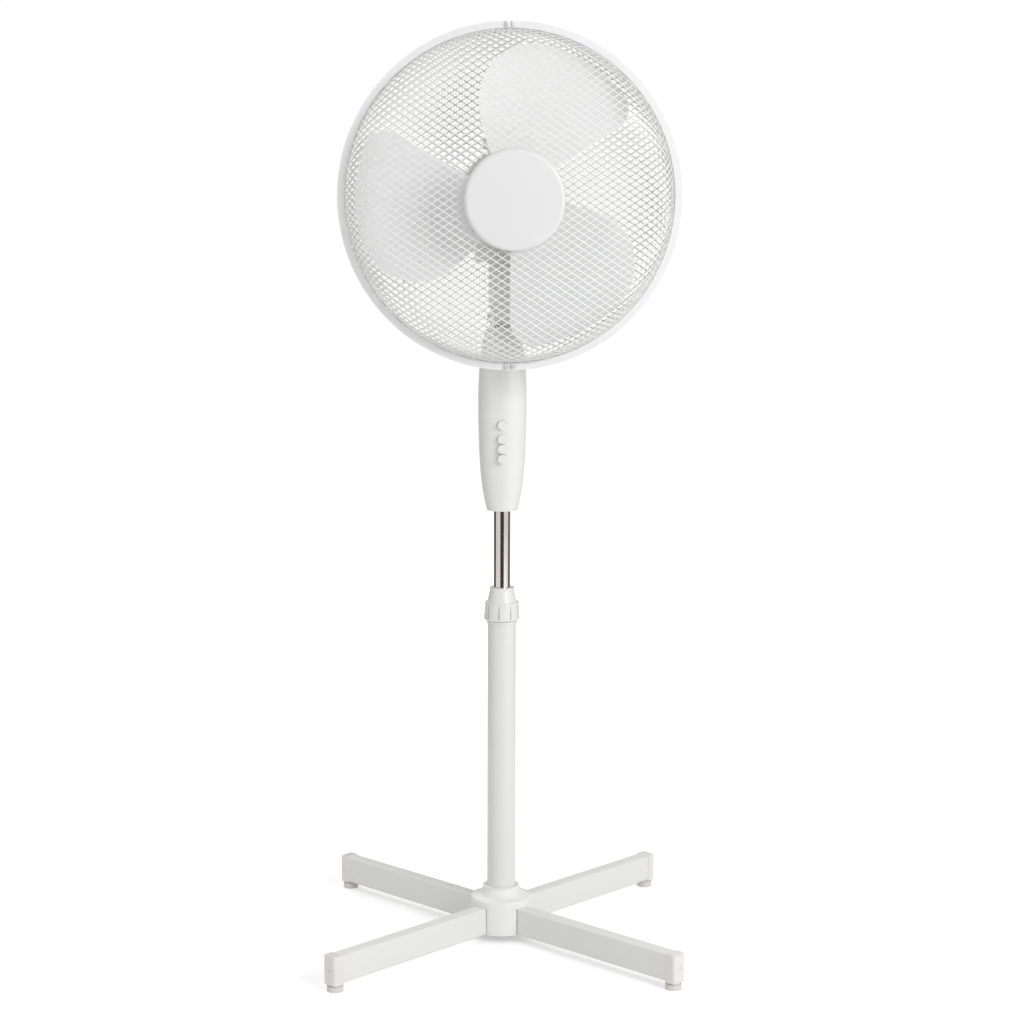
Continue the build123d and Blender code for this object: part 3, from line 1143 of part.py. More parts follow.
# Guard ring: two half rings with a groove for each guard's rim, joined top and bottom
RING_RADIUS = RING_DIAMETER / 2
RING_INNER = RING_RADIUS - RING_BAND
RING_BACK = RING_FORWARD - RING_WIDTH / 2
RING_FRONT = RING_FORWARD + RING_WIDTH / 2
RIM_RADIUS = RING_RADIUS - RING_BAND / 3
FRONT_RIM = RING_FRONT - RING_GROOVE_SETBACK
REAR_RIM = RING_BACK + RING_GROOVE_SETBACK
RING_SCREW_TIP = FRONT_RIM + GUARD_RIM_GAP
RING_SCREW_PLACES = [
    (across * RING_SCREW_SPACING / 2, side * (RING_RADIUS - RING_BAND / 2))
    for side in (-1, 1)
    for across in (-1, 1)
]
with BuildPart() as guard_ring:
    with BuildSketch(PROFILE):
        band(RING_BACK, RING_FRONT, RING_INNER, RING_RADIUS)
        for start in (FRONT_RIM - GUARD_THICKNESS - GUARD_RIM_GAP, REAR_RIM - GUARD_RIM_GAP):
            groove_end = start + GUARD_THICKNESS + 2 * GUARD_RIM_GAP
            band(start, groove_end, RING_INNER, RIM_RADIUS + GUARD_RIM_GAP, mode=Mode.SUBTRACT)
    revolve(axis=SHAFT_AXIS)
    with BuildSketch(FACE.offset(RING_FRONT)):
        for side in (-1, 1):
            with Locations((0, side * (RING_RADIUS - RING_BAND / 2))):
                Rectangle(RING_LUG_WIDTH, RING_BAND)
    extrude(amount=RING_LUG_PROUD)
    with BuildSketch(FACE.offset(RING_SCREW_TIP)):
        with Locations(*RING_SCREW_PLACES):
            Circle(RING_SCREW_DIAMETER / 2 + PRESS_GAP)
    extrude(amount=RING_WIDTH, mode=Mode.SUBTRACT)
SPLIT_PLANE = Plane(HEAD.origin, x_dir=HEAD.z_dir, z_dir=HEAD.x_dir)
for name, side, kept in (("guard_ring_right", 1, Keep.TOP), ("guard_ring_left", -1, Keep.BOTTOM)):
    with BuildPart() as half_ring:
        add(guard_ring.part)
        split(bisect_by=SPLIT_PLANE.offset(side * RING_SPLIT_GAP / 2), keep=kept)
    save(half_ring, name)

with BuildPart() as ring_screws:
    with BuildSketch(FACE.offset(RING_SCREW_TIP)):
        with Locations(*RING_SCREW_PLACES):
            Circle(RING_SCREW_DIAMETER / 2)
    extrude(amount=RING_FRONT + RING_LUG_PROUD - RING_SCREW_TIP)
    with BuildSketch(FACE.offset(RING_FRONT + RING_LUG_PROUD)):
        with Locations(*RING_SCREW_PLACES):
            Circle(RING_SCREW_HEAD_DIAMETER / 2)
    extrude(amount=RING_SCREW_HEAD_HEIGHT)
save(ring_screws, "ring_screws")


def diamond_places(inner, outer):
    """Give the middles of the diamonds whose whole outline lies between two radii."""
    reach = hypot(DIAMOND_WIDTH, DIAMOND_HEIGHT) / 4
    rows = ceil(2 * outer / DIAMOND_HEIGHT)
    columns = ceil(outer / DIAMOND_WIDTH)
    places = []
    for row in range(-rows, rows + 1):
        for column in range(-columns, columns + 1):
            x = (column + (row % 2) / 2) * DIAMOND_WIDTH
            y = row * DIAMOND_HEIGHT / 2
            if inner + reach < hypot(x, y) < outer - reach:
                places.append((x, y))
    return places


def guard_section(rim, way, corner_drop, eye_radius, crown):
    """Draw the thin section of a guard: flat crown, round shoulder, side wall and turned-out rim."""
    crown_end = rim + way * (corner_drop + crown)
    corner = rim + way * corner_drop
    side = RING_INNER - GUARD_RIM_GAP
    with BuildLine() as path:
        outside = FilletPolyline(
            (crown_end, eye_radius),
            (corner, side - GUARD_CORNER_SETBACK),
            (rim, side),
            radius=GUARD_CORNER_ROUND,
        )
        inside = FilletPolyline(
            (crown_end - way * GUARD_THICKNESS, eye_radius),
            (corner - way * GUARD_THICKNESS, side - GUARD_CORNER_SETBACK - GUARD_THICKNESS),
            (rim - way * GUARD_THICKNESS, side - GUARD_THICKNESS),
            radius=GUARD_CORNER_ROUND - GUARD_THICKNESS,
        )
        Polyline(outside @ 1, (rim, RIM_RADIUS), (rim - way * GUARD_THICKNESS, RIM_RADIUS), inside @ 1)
        Line(inside @ 0, outside @ 0)
    make_face(path.edges())


DIAMOND_EDGE = hypot(DIAMOND_WIDTH, DIAMOND_HEIGHT) / 2
DIAMOND_DEPTH = DIAMOND_WIDTH * DIAMOND_HEIGHT / 4 / DIAMOND_EDGE
DIAMOND_SHARE = 1 - DIAMOND_STRAND / 2 / DIAMOND_DEPTH
DIAMOND_CORNERS = [
    (DIAMOND_SHARE * DIAMOND_WIDTH / 2, 0),
    (0, DIAMOND_SHARE * DIAMOND_HEIGHT / 2),
    (-DIAMOND_SHARE * DIAMOND_WIDTH / 2, 0),
    (0, -DIAMOND_SHARE * DIAMOND_HEIGHT / 2),
]
WINDOW_CORNERS = [
    (SIDE_WINDOW_WIDTH / 2, 0),
    (0, SIDE_WINDOW_LENGTH / 2),
    (-SIDE_WINDOW_WIDTH / 2, 0),
    (0, -SIDE_WINDOW_LENGTH / 2),
]

# Guards: domed sheets of diamond mesh, front and rear
FRONT_CORNER_DROP = FRONT_GUARD_DEPTH - FRONT_GUARD_CROWN
REAR_CORNER_DROP = REAR_RIM - MOTOR_FACE - GUARD_PLATE_THICKNESS - REAR_GUARD_CROWN
for name, rim, way, depth, crown, eye in (
    ("front_guard", FRONT_RIM, 1, FRONT_CORNER_DROP, FRONT_GUARD_CROWN, FRONT_GUARD_EYE_DIAMETER),
    ("rear_guard", REAR_RIM, -1, REAR_CORNER_DROP, REAR_GUARD_CROWN, REAR_GUARD_EYE_DIAMETER),
):
    with BuildPart() as guard:
        with BuildSketch(PROFILE):
            guard_section(rim, way, depth, eye / 2, crown)
        revolve(axis=SHAFT_AXIS)
        with BuildSketch(FACE.offset(rim)):
            with Locations(*diamond_places(eye / 2 + DIAMOND_STRAND, DIAMOND_FIELD_DIAMETER / 2)):
                Polygon(*DIAMOND_CORNERS)
        extrude(amount=way * (depth + crown), mode=Mode.SUBTRACT)
        for turn in range(SIDE_WINDOW_COUNT):
            swing = 2 * pi * turn / SIDE_WINDOW_COUNT
            outward = FACE.x_dir * cos(swing) + FACE.y_dir * sin(swing)
            level = FACE.z_dir * (rim + way * SIDE_WINDOW_SETBACK)
            start = FACE.origin + level + outward * (DIAMOND_FIELD_DIAMETER / 2)
            with BuildSketch(Plane(start, x_dir=FACE.z_dir.cross(outward), z_dir=outward)):
                Polygon(*WINDOW_CORNERS)
        extrude(amount=RING_RADIUS - DIAMOND_FIELD_DIAMETER / 2, mode=Mode.SUBTRACT)
    save(guard, name)

# Plates welded in the middle of the guards
PLATE_REAR_END = MOTOR_FACE + GUARD_PLATE_THICKNESS
with BuildPart() as rear_guard_plate:
    with BuildSketch(FACE.offset(MOTOR_FACE)):
        Circle(REAR_PLATE_DIAMETER / 2)
        Circle(NOSE_DIAMETER / 2 + SLIDE_GAP, mode=Mode.SUBTRACT)
    extrude(amount=GUARD_PLATE_THICKNESS)
save(rear_guard_plate, "rear_guard_plate")

FRONT_CROWN = FRONT_RIM + FRONT_GUARD_DEPTH
with BuildPart() as front_guard_plate:
    with BuildSketch(FACE.offset(FRONT_CROWN)):
        Circle(FRONT_PLATE_DIAMETER / 2)
    extrude(amount=GUARD_PLATE_THICKNESS)
save(front_guard_plate, "front_guard_plate")

# Guard nut: a scalloped ring on the motor's nose
with BuildPart() as guard_nut:
    with BuildSketch(FACE.offset(PLATE_REAR_END)):
        Circle(GUARD_NUT_DIAMETER / 2)
        Circle(NOSE_DIAMETER / 2 + SLIDE_GAP, mode=Mode.SUBTRACT)
        with PolarLocations(GUARD_NUT_DIAMETER / 2 + GUARD_NUT_SCALLOP_LIFT, GUARD_NUT_SCALLOPS):
            Circle(GUARD_NUT_SCALLOP_DIAMETER / 2, mode=Mode.SUBTRACT)
    extrude(amount=GUARD_NUT_LENGTH)
save(guard_nut, "guard_nut")

# Front cap: a shallow round cover on the front guard's plate
CAP_BACK = FRONT_CROWN + GUARD_PLATE_THICKNESS
with BuildPart() as front_cap:
    with BuildSketch(PROFILE):
        with BuildLine():
            edge = FilletPolyline(
                (CAP_BACK, CAP_DIAMETER / 2),
                (CAP_BACK + CAP_HEIGHT, CAP_DIAMETER / 2),
                (CAP_BACK + CAP_HEIGHT, 0),
                radius=CAP_ROUND,
            )
            hollow = FilletPolyline(
                (CAP_BACK, CAP_DIAMETER / 2 - CAP_WALL),
                (CAP_BACK + CAP_HEIGHT - CAP_WALL, CAP_DIAMETER / 2 - CAP_WALL),
                (CAP_BACK + CAP_HEIGHT - CAP_WALL, 0),
                radius=CAP_ROUND - CAP_WALL,
            )
            Line(edge @ 1, hollow @ 1)
            Line(hollow @ 0, edge @ 0)
        make_face()
    revolve(axis=SHAFT_AXIS)
save(front_cap, "front_cap")


def polar(radius, angle):
    """Give a point on the face plane at a radius and an angle."""
    return (radius * cos(radians(angle)), radius * sin(radians(angle)))


# Propeller: three broad twisted blades on a hollow hub
BLADE_RADIUS = BLADE_DIAMETER / 2
BLADE_OUT = FACE.x_dir * cos(radians(BLADE_ANGLE)) + FACE.y_dir * sin(radians(BLADE_ANGLE))
BLADE_BACKWARD = FACE.z_dir.cross(BLADE_OUT)
BLADE_MIDDLE = FACE.origin + FACE.z_dir * BLADE_FORWARD
with BuildPart() as one_blade:
    for distance, pitch in (
        (0, BLADE_ROOT_PITCH),
        (BLADE_RADIUS / 2, BLADE_MIDDLE_PITCH),
        (BLADE_RADIUS, BLADE_TIP_PITCH),
    ):
        rise = BLADE_RADIUS * tan(radians(pitch))
        with BuildSketch(Plane(BLADE_MIDDLE + BLADE_OUT * distance, x_dir=BLADE_BACKWARD, z_dir=BLADE_OUT)):
            with BuildLine():
                rear = ThreePointArc((-BLADE_RADIUS, -rise), (0, -BLADE_CAMBER), (BLADE_RADIUS, rise))
                front = ThreePointArc(
                    (-BLADE_RADIUS, -rise + BLADE_THICKNESS),
                    (0, -BLADE_CAMBER + BLADE_THICKNESS),
                    (BLADE_RADIUS, rise + BLADE_THICKNESS),
                )
                Line(rear @ 0, front @ 0)
                Line(rear @ 1, front @ 1)
            make_face()
    loft()
    with BuildSketch(FACE.offset(BLADE_FORWARD)) as planform:
        with BuildLine():
            tip = CenterArc((0, 0), BLADE_RADIUS, BLADE_LEAD_ANGLE, BLADE_TRAIL_ANGLE - BLADE_LEAD_ANGLE)
            lead = Line(polar(BLADE_ROOT_RADIUS, BLADE_ANGLE - BLADE_ROOT_SPREAD), tip @ 0)
            trail = ThreePointArc(
                tip @ 1,
                polar(BLADE_TRAIL_BELLY_RADIUS, BLADE_TRAIL_BELLY_ANGLE),
                polar(BLADE_ROOT_RADIUS, BLADE_ANGLE + BLADE_ROOT_SPREAD),
            )
            Line(trail @ 1, lead @ 0)
        make_face()
        fillet(planform.vertices().sort_by_distance(tip @ 1)[0], BLADE_TRAIL_ROUND)
        fillet(planform.vertices().sort_by_distance(tip @ 0)[0], BLADE_LEAD_ROUND)
    extrude(amount=BLADE_RADIUS, both=True, mode=Mode.INTERSECT)

with BuildPart() as fan_blade:
    for turn in range(BLADE_COUNT):
        add(one_blade.part.rotate(SHAFT_AXIS, 360 * turn / BLADE_COUNT))
    with BuildSketch(PROFILE):
        with BuildLine():
            hub = FilletPolyline(
                (HUB_BACK, BLADE_HUB_DIAMETER / 2),
                (HUB_FRONT, BLADE_HUB_DIAMETER / 2),
                (HUB_FRONT, 0),
                radius=BLADE_HUB_ROUND,
            )
            Polyline(hub @ 1, (HUB_BACK, 0), hub @ 0)
        make_face()
    revolve(axis=SHAFT_AXIS)
    with BuildSketch(PROFILE):
        hollow_radius = BLADE_HUB_DIAMETER / 2 - BLADE_HUB_WALL
        band(HUB_BACK, HUB_FRONT - BLADE_HUB_ROUND, BLADE_SLEEVE_DIAMETER / 2, hollow_radius)
        band(HUB_BACK, HUB_FRONT, 0, SHAFT_DIAMETER / 2 + PRESS_GAP)
    revolve(axis=SHAFT_AXIS, mode=Mode.SUBTRACT)
save(fan_blade, "fan_blade")

# Blade nut on the shaft's threaded end
with BuildPart() as blade_nut:
    with BuildSketch(PROFILE):
        with BuildLine():
            spinner = FilletPolyline(
                (HUB_FRONT, BLADE_NUT_DIAMETER / 2),
                (HUB_FRONT + BLADE_NUT_LENGTH, BLADE_NUT_DIAMETER / 2),
                (HUB_FRONT + BLADE_NUT_LENGTH, 0),
                radius=BLADE_NUT_ROUND,
            )
            Polyline(spinner @ 1, (HUB_FRONT, 0), spinner @ 0)
        make_face()
        band(HUB_FRONT, SHAFT_FRONT, 0, SHAFT_DIAMETER / 2 + PRESS_GAP, mode=Mode.SUBTRACT)
    revolve(axis=SHAFT_AXIS)
save(blade_nut, "blade_nut")
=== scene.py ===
import bmesh
import bpy
import json
import math
import numpy as np
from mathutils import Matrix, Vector


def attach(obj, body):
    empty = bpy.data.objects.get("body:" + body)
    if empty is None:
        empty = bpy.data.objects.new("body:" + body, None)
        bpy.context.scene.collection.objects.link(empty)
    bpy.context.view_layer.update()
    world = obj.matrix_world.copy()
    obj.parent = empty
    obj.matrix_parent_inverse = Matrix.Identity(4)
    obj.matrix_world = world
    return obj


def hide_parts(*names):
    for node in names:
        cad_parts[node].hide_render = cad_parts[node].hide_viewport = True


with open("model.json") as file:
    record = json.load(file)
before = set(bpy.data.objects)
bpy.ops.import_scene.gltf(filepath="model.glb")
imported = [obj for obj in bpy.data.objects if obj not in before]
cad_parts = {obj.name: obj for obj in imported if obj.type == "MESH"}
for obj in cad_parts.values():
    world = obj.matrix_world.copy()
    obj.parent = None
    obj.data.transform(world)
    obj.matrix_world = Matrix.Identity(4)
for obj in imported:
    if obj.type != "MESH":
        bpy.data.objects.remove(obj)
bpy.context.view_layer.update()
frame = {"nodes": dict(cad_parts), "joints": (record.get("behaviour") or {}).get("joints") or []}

# Leg tubes: two flattened steel tubes, halved into each other to make the cross.
# Powder coated white; the coat has a faint orange peel and a slightly uneven gloss.
# They are bolted up into the flange under the pole.


def surface_finish(name, patch_scale, grain_scale, stretch=(1, 1, 1)):
    """Make a node group of broad patches and fine grain, in object space."""
    group = bpy.data.node_groups.new(name, "ShaderNodeTree")
    for label, kind in (
        ("Light", "NodeSocketColor"),
        ("Dark", "NodeSocketColor"),
        ("Gloss", "NodeSocketFloat"),
        ("Dull", "NodeSocketFloat"),
    ):
        group.interface.new_socket(label, in_out="INPUT", socket_type=kind)
    for label, kind in (
        ("Color", "NodeSocketColor"),
        ("Roughness", "NodeSocketFloat"),
        ("Height", "NodeSocketFloat"),
    ):
        group.interface.new_socket(label, in_out="OUTPUT", socket_type=kind)
    nodes, links = group.nodes, group.links
    inputs = nodes.new("NodeGroupInput")
    outputs = nodes.new("NodeGroupOutput")
    place = nodes.new("ShaderNodeTexCoord")
    stretched = nodes.new("ShaderNodeMapping")
    stretched.inputs["Scale"].default_value = stretch
    links.new(place.outputs["Object"], stretched.inputs["Vector"])
    patches = nodes.new("ShaderNodeTexNoise")
    patches.inputs["Scale"].default_value = patch_scale
    patches.inputs["Detail"].default_value = 3
    grain = nodes.new("ShaderNodeTexNoise")
    grain.inputs["Scale"].default_value = grain_scale
    grain.inputs["Detail"].default_value = 2
    for noise in (patches, grain):
        links.new(stretched.outputs["Vector"], noise.inputs["Vector"])
    speckle = nodes.new("ShaderNodeMix")
    speckle.inputs["Factor"].default_value = 0.5
    links.new(patches.outputs["Fac"], speckle.inputs["A"])
    links.new(grain.outputs["Fac"], speckle.inputs["B"])
    tint = nodes.new("ShaderNodeMix")
    tint.data_type = "RGBA"
    links.new(speckle.outputs["Result"], tint.inputs["Factor"])
    links.new(inputs.outputs["Dark"], tint.inputs["A"])
    links.new(inputs.outputs["Light"], tint.inputs["B"])
    polish = nodes.new("ShaderNodeMapRange")
    polish.inputs["From Min"].default_value = 0.3
    polish.inputs["From Max"].default_value = 0.7
    links.new(patches.outputs["Fac"], polish.inputs["Value"])
    links.new(inputs.outputs["Gloss"], polish.inputs["To Min"])
    links.new(inputs.outputs["Dull"], polish.inputs["To Max"])
    links.new(tint.outputs["Result"], outputs.inputs["Color"])
    links.new(polish.outputs["Result"], outputs.inputs["Roughness"])
    links.new(grain.outputs["Fac"], outputs.inputs["Height"])
    return group


def finish_material(name, group, light, dark, gloss, dull, bump, metal=0.0):
    """Make a material whose colour, roughness and relief come from a surface finish."""
    relief_depth = 0.0003
    material = bpy.data.materials.new(name)
    material.use_nodes = True
    nodes, links = material.node_tree.nodes, material.node_tree.links
    shader = nodes["Principled BSDF"]
    shader.inputs["Metallic"].default_value = metal
    surface = nodes.new("ShaderNodeGroup")
    surface.node_tree = group
    surface.inputs["Light"].default_value = (*light, 1)
    surface.inputs["Dark"].default_value = (*dark, 1)
    surface.inputs["Gloss"].default_value = gloss
    surface.inputs["Dull"].default_value = dull
    relief = nodes.new("ShaderNodeBump")
    relief.inputs["Strength"].default_value = bump
    relief.inputs["Distance"].default_value = relief_depth
    links.new(surface.outputs["Color"], shader.inputs["Base Color"])
    links.new(surface.outputs["Roughness"], shader.inputs["Roughness"])
    links.new(surface.outputs["Height"], relief.inputs["Height"])
    links.new(relief.outputs["Normal"], shader.inputs["Normal"])
    return material


def dress(material, *names):
    """Give carried-over solids their finish."""
    for name in names:
        mesh = frame["nodes"][name].data
        mesh.materials.clear()
        mesh.materials.append(material)


coat_surface = surface_finish("powder_coat_surface", patch_scale=9, grain_scale=700)
leg_coat = finish_material(
    "leg_powder_coat",
    coat_surface,
    light=(0.83, 0.83, 0.82),
    dark=(0.80, 0.80, 0.79),
    gloss=0.42,
    dull=0.52,
    bump=0.12,
)
dress(leg_coat, "leg_tube_lower", "leg_tube_upper")

# Leg end caps and feet: moulded plugs pushed into the tube ends, each on a round rubber foot.
# The caps are glossy white plastic, a little proud of the tube; the feet are light grey rubber.
moulded_surface = surface_finish("moulded_plastic_surface", patch_scale=14, grain_scale=1100)
cap_plastic = finish_material(
    "end_cap_plastic",
    moulded_surface,
    light=(0.82, 0.81, 0.79),
    dark=(0.79, 0.78, 0.76),
    gloss=0.22,
    dull=0.34,
    bump=0.06,
)
foot_rubber = finish_material(
    "foot_rubber",
    moulded_surface,
    light=(0.76, 0.75, 0.72),
    dark=(0.68, 0.67, 0.64),
    gloss=0.5,
    dull=0.7,
    bump=0.25,
)
dress(cap_plastic, "leg_end_caps")
dress(foot_rubber, "leg_feet")

# Base cover and what it hides: a bell moulding over the crossing, with the steel flange
# and its bolts under it. The bell is satin white plastic; the flange and bolts are zinc plated.
base_plastic = finish_material(
    "base_cover_plastic",
    moulded_surface,
    light=(0.87, 0.87, 0.86),
    dark=(0.84, 0.84, 0.83),
    gloss=0.38,
    dull=0.52,
    bump=0.08,
)
zinc_surface = surface_finish("zinc_plate_surface", patch_scale=160, grain_scale=1500)
zinc_plate = finish_material(
    "zinc_plate",
    zinc_surface,
    light=(0.68, 0.68, 0.70),
    dark=(0.50, 0.51, 0.53),
    gloss=0.26,
    dull=0.5,
    bump=0.15,
    metal=1.0,
)
dress(base_plastic, "base_cover")
dress(zinc_plate, "pole_flange", "base_bolts")

# Outer pole: a welded steel tube with the same white powder coat as the legs,
# pushed over the flange's spigot.
# The pole's coat is painted a shade darker than the legs' same coat: painted shade on the round tube.
pole_coat_painted_shade = finish_material(
    "pole_powder_coat_painted_shade",
    coat_surface,
    light=(0.78, 0.78, 0.77),
    dark=(0.75, 0.75, 0.74),
    gloss=0.34,
    dull=0.44,
    bump=0.12,
)
dress(pole_coat_painted_shade, "outer_pole")

# Height clamp: a slit sleeve in the top of the pole and the fluted collar screwed over it.
# Both are moulded white plastic; the collar's flutes are for the hand.
collar_plastic = finish_material(
    "height_collar_plastic",
    moulded_surface,
    light=(0.80, 0.80, 0.79),
    dark=(0.77, 0.77, 0.76),
    gloss=0.3,
    dull=0.45,
    bump=0.1,
)
dress(collar_plastic, "clamp_sleeve", "height_collar")

# Inner pole: a bright chromed tube that slides in the sleeve, with a plastic guide on its end.
# The plating is mirror smooth, with faint lengthwise drawing lines.
chrome_surface = surface_finish(
    "drawn_chrome_surface", patch_scale=60, grain_scale=700, stretch=(1, 1, 0.02)
)
chrome_plate = finish_material(
    "chrome_plate",
    chrome_surface,
    light=(0.58, 0.55, 0.51),
    dark=(0.52, 0.49, 0.45),
    gloss=0.05,
    dull=0.12,
    bump=0.04,
    metal=1.0,
)
inner_plastic = finish_material(
    "engineering_plastic",
    moulded_surface,
    light=(0.72, 0.72, 0.70),
    dark=(0.66, 0.66, 0.64),
    gloss=0.45,
    dull=0.6,
    bump=0.12,
)
dress(chrome_plate, "inner_pole")
dress(inner_plastic, "pole_guide")

# Control housing: a front and a rear half shell, screwed together from behind over the pole socket.
# Satin white plastic; a grey rubber gland takes the cord in at the back.
housing_plastic = finish_material(
    "housing_plastic",
    moulded_surface,
    light=(0.81, 0.81, 0.80),
    dark=(0.78, 0.78, 0.77),
    gloss=0.26,
    dull=0.4,
    bump=0.07,
)
gland_rubber = finish_material(
    "gland_rubber",
    moulded_surface,
    light=(0.74, 0.74, 0.73),
    dark=(0.66, 0.66, 0.65),
    gloss=0.55,
    dull=0.75,
    bump=0.2,
)
dress(housing_plastic, "control_front_cover", "control_rear_cover")
dress(inner_plastic, "pole_socket")
dress(zinc_plate, "pole_screw", "cover_screws")
dress(gland_rubber, "cord_gland")

# Push buttons: four round plungers in a column, the off button apart at the top.
# Glossy white plastic; a black switch block behind them.
button_plastic = finish_material(
    "button_plastic",
    moulded_surface,
    light=(0.84, 0.84, 0.83),
    dark=(0.81, 0.81, 0.80),
    gloss=0.2,
    dull=0.3,
    bump=0.04,
)
switch_plastic = finish_material(
    "switch_block_plastic",
    moulded_surface,
    light=(0.10, 0.10, 0.11),
    dark=(0.06, 0.06, 0.07),
    gloss=0.4,
    dull=0.6,
    bump=0.1,
)
dress(button_plastic, "button_off", "button_low", "button_medium", "button_high")
dress(switch_plastic, "switch_block")

# Tilt joint and neck: a slotted post, a bolt with a scalloped hand knob, and the neck column
# with its bronze bush. Satin white plastic on a zinc plated bolt.
# The neck's white is painted lighter than the housing's same plastic: painted light that lifts the
# shade the head casts on the neck.
neck_plastic_painted_light = finish_material(
    "neck_plastic_painted_light",
    moulded_surface,
    light=(0.90, 0.90, 0.89),
    dark=(0.87, 0.87, 0.86),
    gloss=0.3,
    dull=0.44,
    bump=0.08,
)
bronze_surface = surface_finish("sintered_bronze_surface", patch_scale=300, grain_scale=2400)
bearing_bronze = finish_material(
    "sintered_bronze",
    bronze_surface,
    light=(0.62, 0.46, 0.26),
    dark=(0.46, 0.33, 0.18),
    gloss=0.35,
    dull=0.55,
    bump=0.2,
    metal=1.0,
)
dress(neck_plastic_painted_light, "tilt_fork", "tilt_knob", "neck_column")
dress(zinc_plate, "tilt_bolt")
dress(bearing_bronze, "swivel_bush")

# Swing drive: the pivot shaft and cast yoke under the motor, the gearbox behind it,
# and the crank and link that swing the head. Steel, cast alloy and grey plastic.
shaft_surface = surface_finish(
    "ground_steel_surface", patch_scale=40, grain_scale=900, stretch=(1, 0.05, 1)
)
shaft_steel = finish_material(
    "ground_steel",
    shaft_surface,
    light=(0.60, 0.60, 0.61),
    dark=(0.48, 0.48, 0.50),
    gloss=0.18,
    dull=0.32,
    bump=0.08,
    metal=1.0,
)
cast_surface = surface_finish("cast_alloy_surface", patch_scale=120, grain_scale=900)
cast_alloy = finish_material(
    "cast_alloy",
    cast_surface,
    light=(0.66, 0.66, 0.67),
    dark=(0.54, 0.54, 0.55),
    gloss=0.4,
    dull=0.6,
    bump=0.35,
    metal=1.0,
)
dress(shaft_steel, "pivot_shaft")
dress(cast_alloy, "swivel_yoke")
dress(inner_plastic, "gearbox_case", "worm_wheel", "swing_crank")
dress(zinc_plate, "swing_link")

# Motor: laminated stator and rotor between two cast brackets, with copper windings,
# bronze bearings and through bolts. All of it sits inside the covers.
sheet_surface = surface_finish(
    "stacked_sheet_surface", patch_scale=30, grain_scale=600, stretch=(0.05, 1, 0.05)
)
stacked_sheet = finish_material(
    "stacked_sheet_steel",
    sheet_surface,
    light=(0.40, 0.40, 0.42),
    dark=(0.24, 0.24, 0.26),
    gloss=0.4,
    dull=0.6,
    bump=0.3,
    metal=1.0,
)
copper_surface = surface_finish(
    "copper_wire_surface", patch_scale=50, grain_scale=500, stretch=(0.2, 1, 0.2)
)
winding_copper = finish_material(
    "winding_copper",
    copper_surface,
    light=(0.66, 0.32, 0.16),
    dark=(0.40, 0.18, 0.08),
    gloss=0.25,
    dull=0.45,
    bump=0.5,
    metal=1.0,
)
dress(cast_alloy, "motor_front_bracket", "motor_rear_bracket")
dress(bearing_bronze, "front_bearing", "rear_bearing")
dress(zinc_plate, "motor_bolts")
dress(stacked_sheet, "stator_core", "rotor_core")
dress(winding_copper, "stator_windings")
dress(shaft_steel, "motor_shaft")

# Motor covers and swing knob: a front cup, a vented tail with a skirt, and the pull knob on top.
# Satin white plastic with a fine moulded texture.
cover_plastic = finish_material(
    "motor_cover_plastic",
    moulded_surface,
    light=(0.82, 0.82, 0.81),
    dark=(0.79, 0.79, 0.78),
    gloss=0.3,
    dull=0.46,
    bump=0.1,
)
dress(cover_plastic, "motor_front_cover", "motor_rear_cover", "swing_knob")

# Rear guard: steel sheet slit and pulled into a diamond mesh, pressed into a dish with a wire rim.
# White coated; a plate welded in its middle is clamped on the motor's nose by a scalloped nut.
spin = next(joint for joint in frame["joints"] if joint["name"] == "blade_spin")
swing = next(joint for joint in frame["joints"] if joint["name"] == "head_swing")
hub_point = Vector(spin["pos_m"])
ahead = -Vector(spin["axis"])
upward = Vector(swing["axis"])
rightward = upward.cross(ahead)


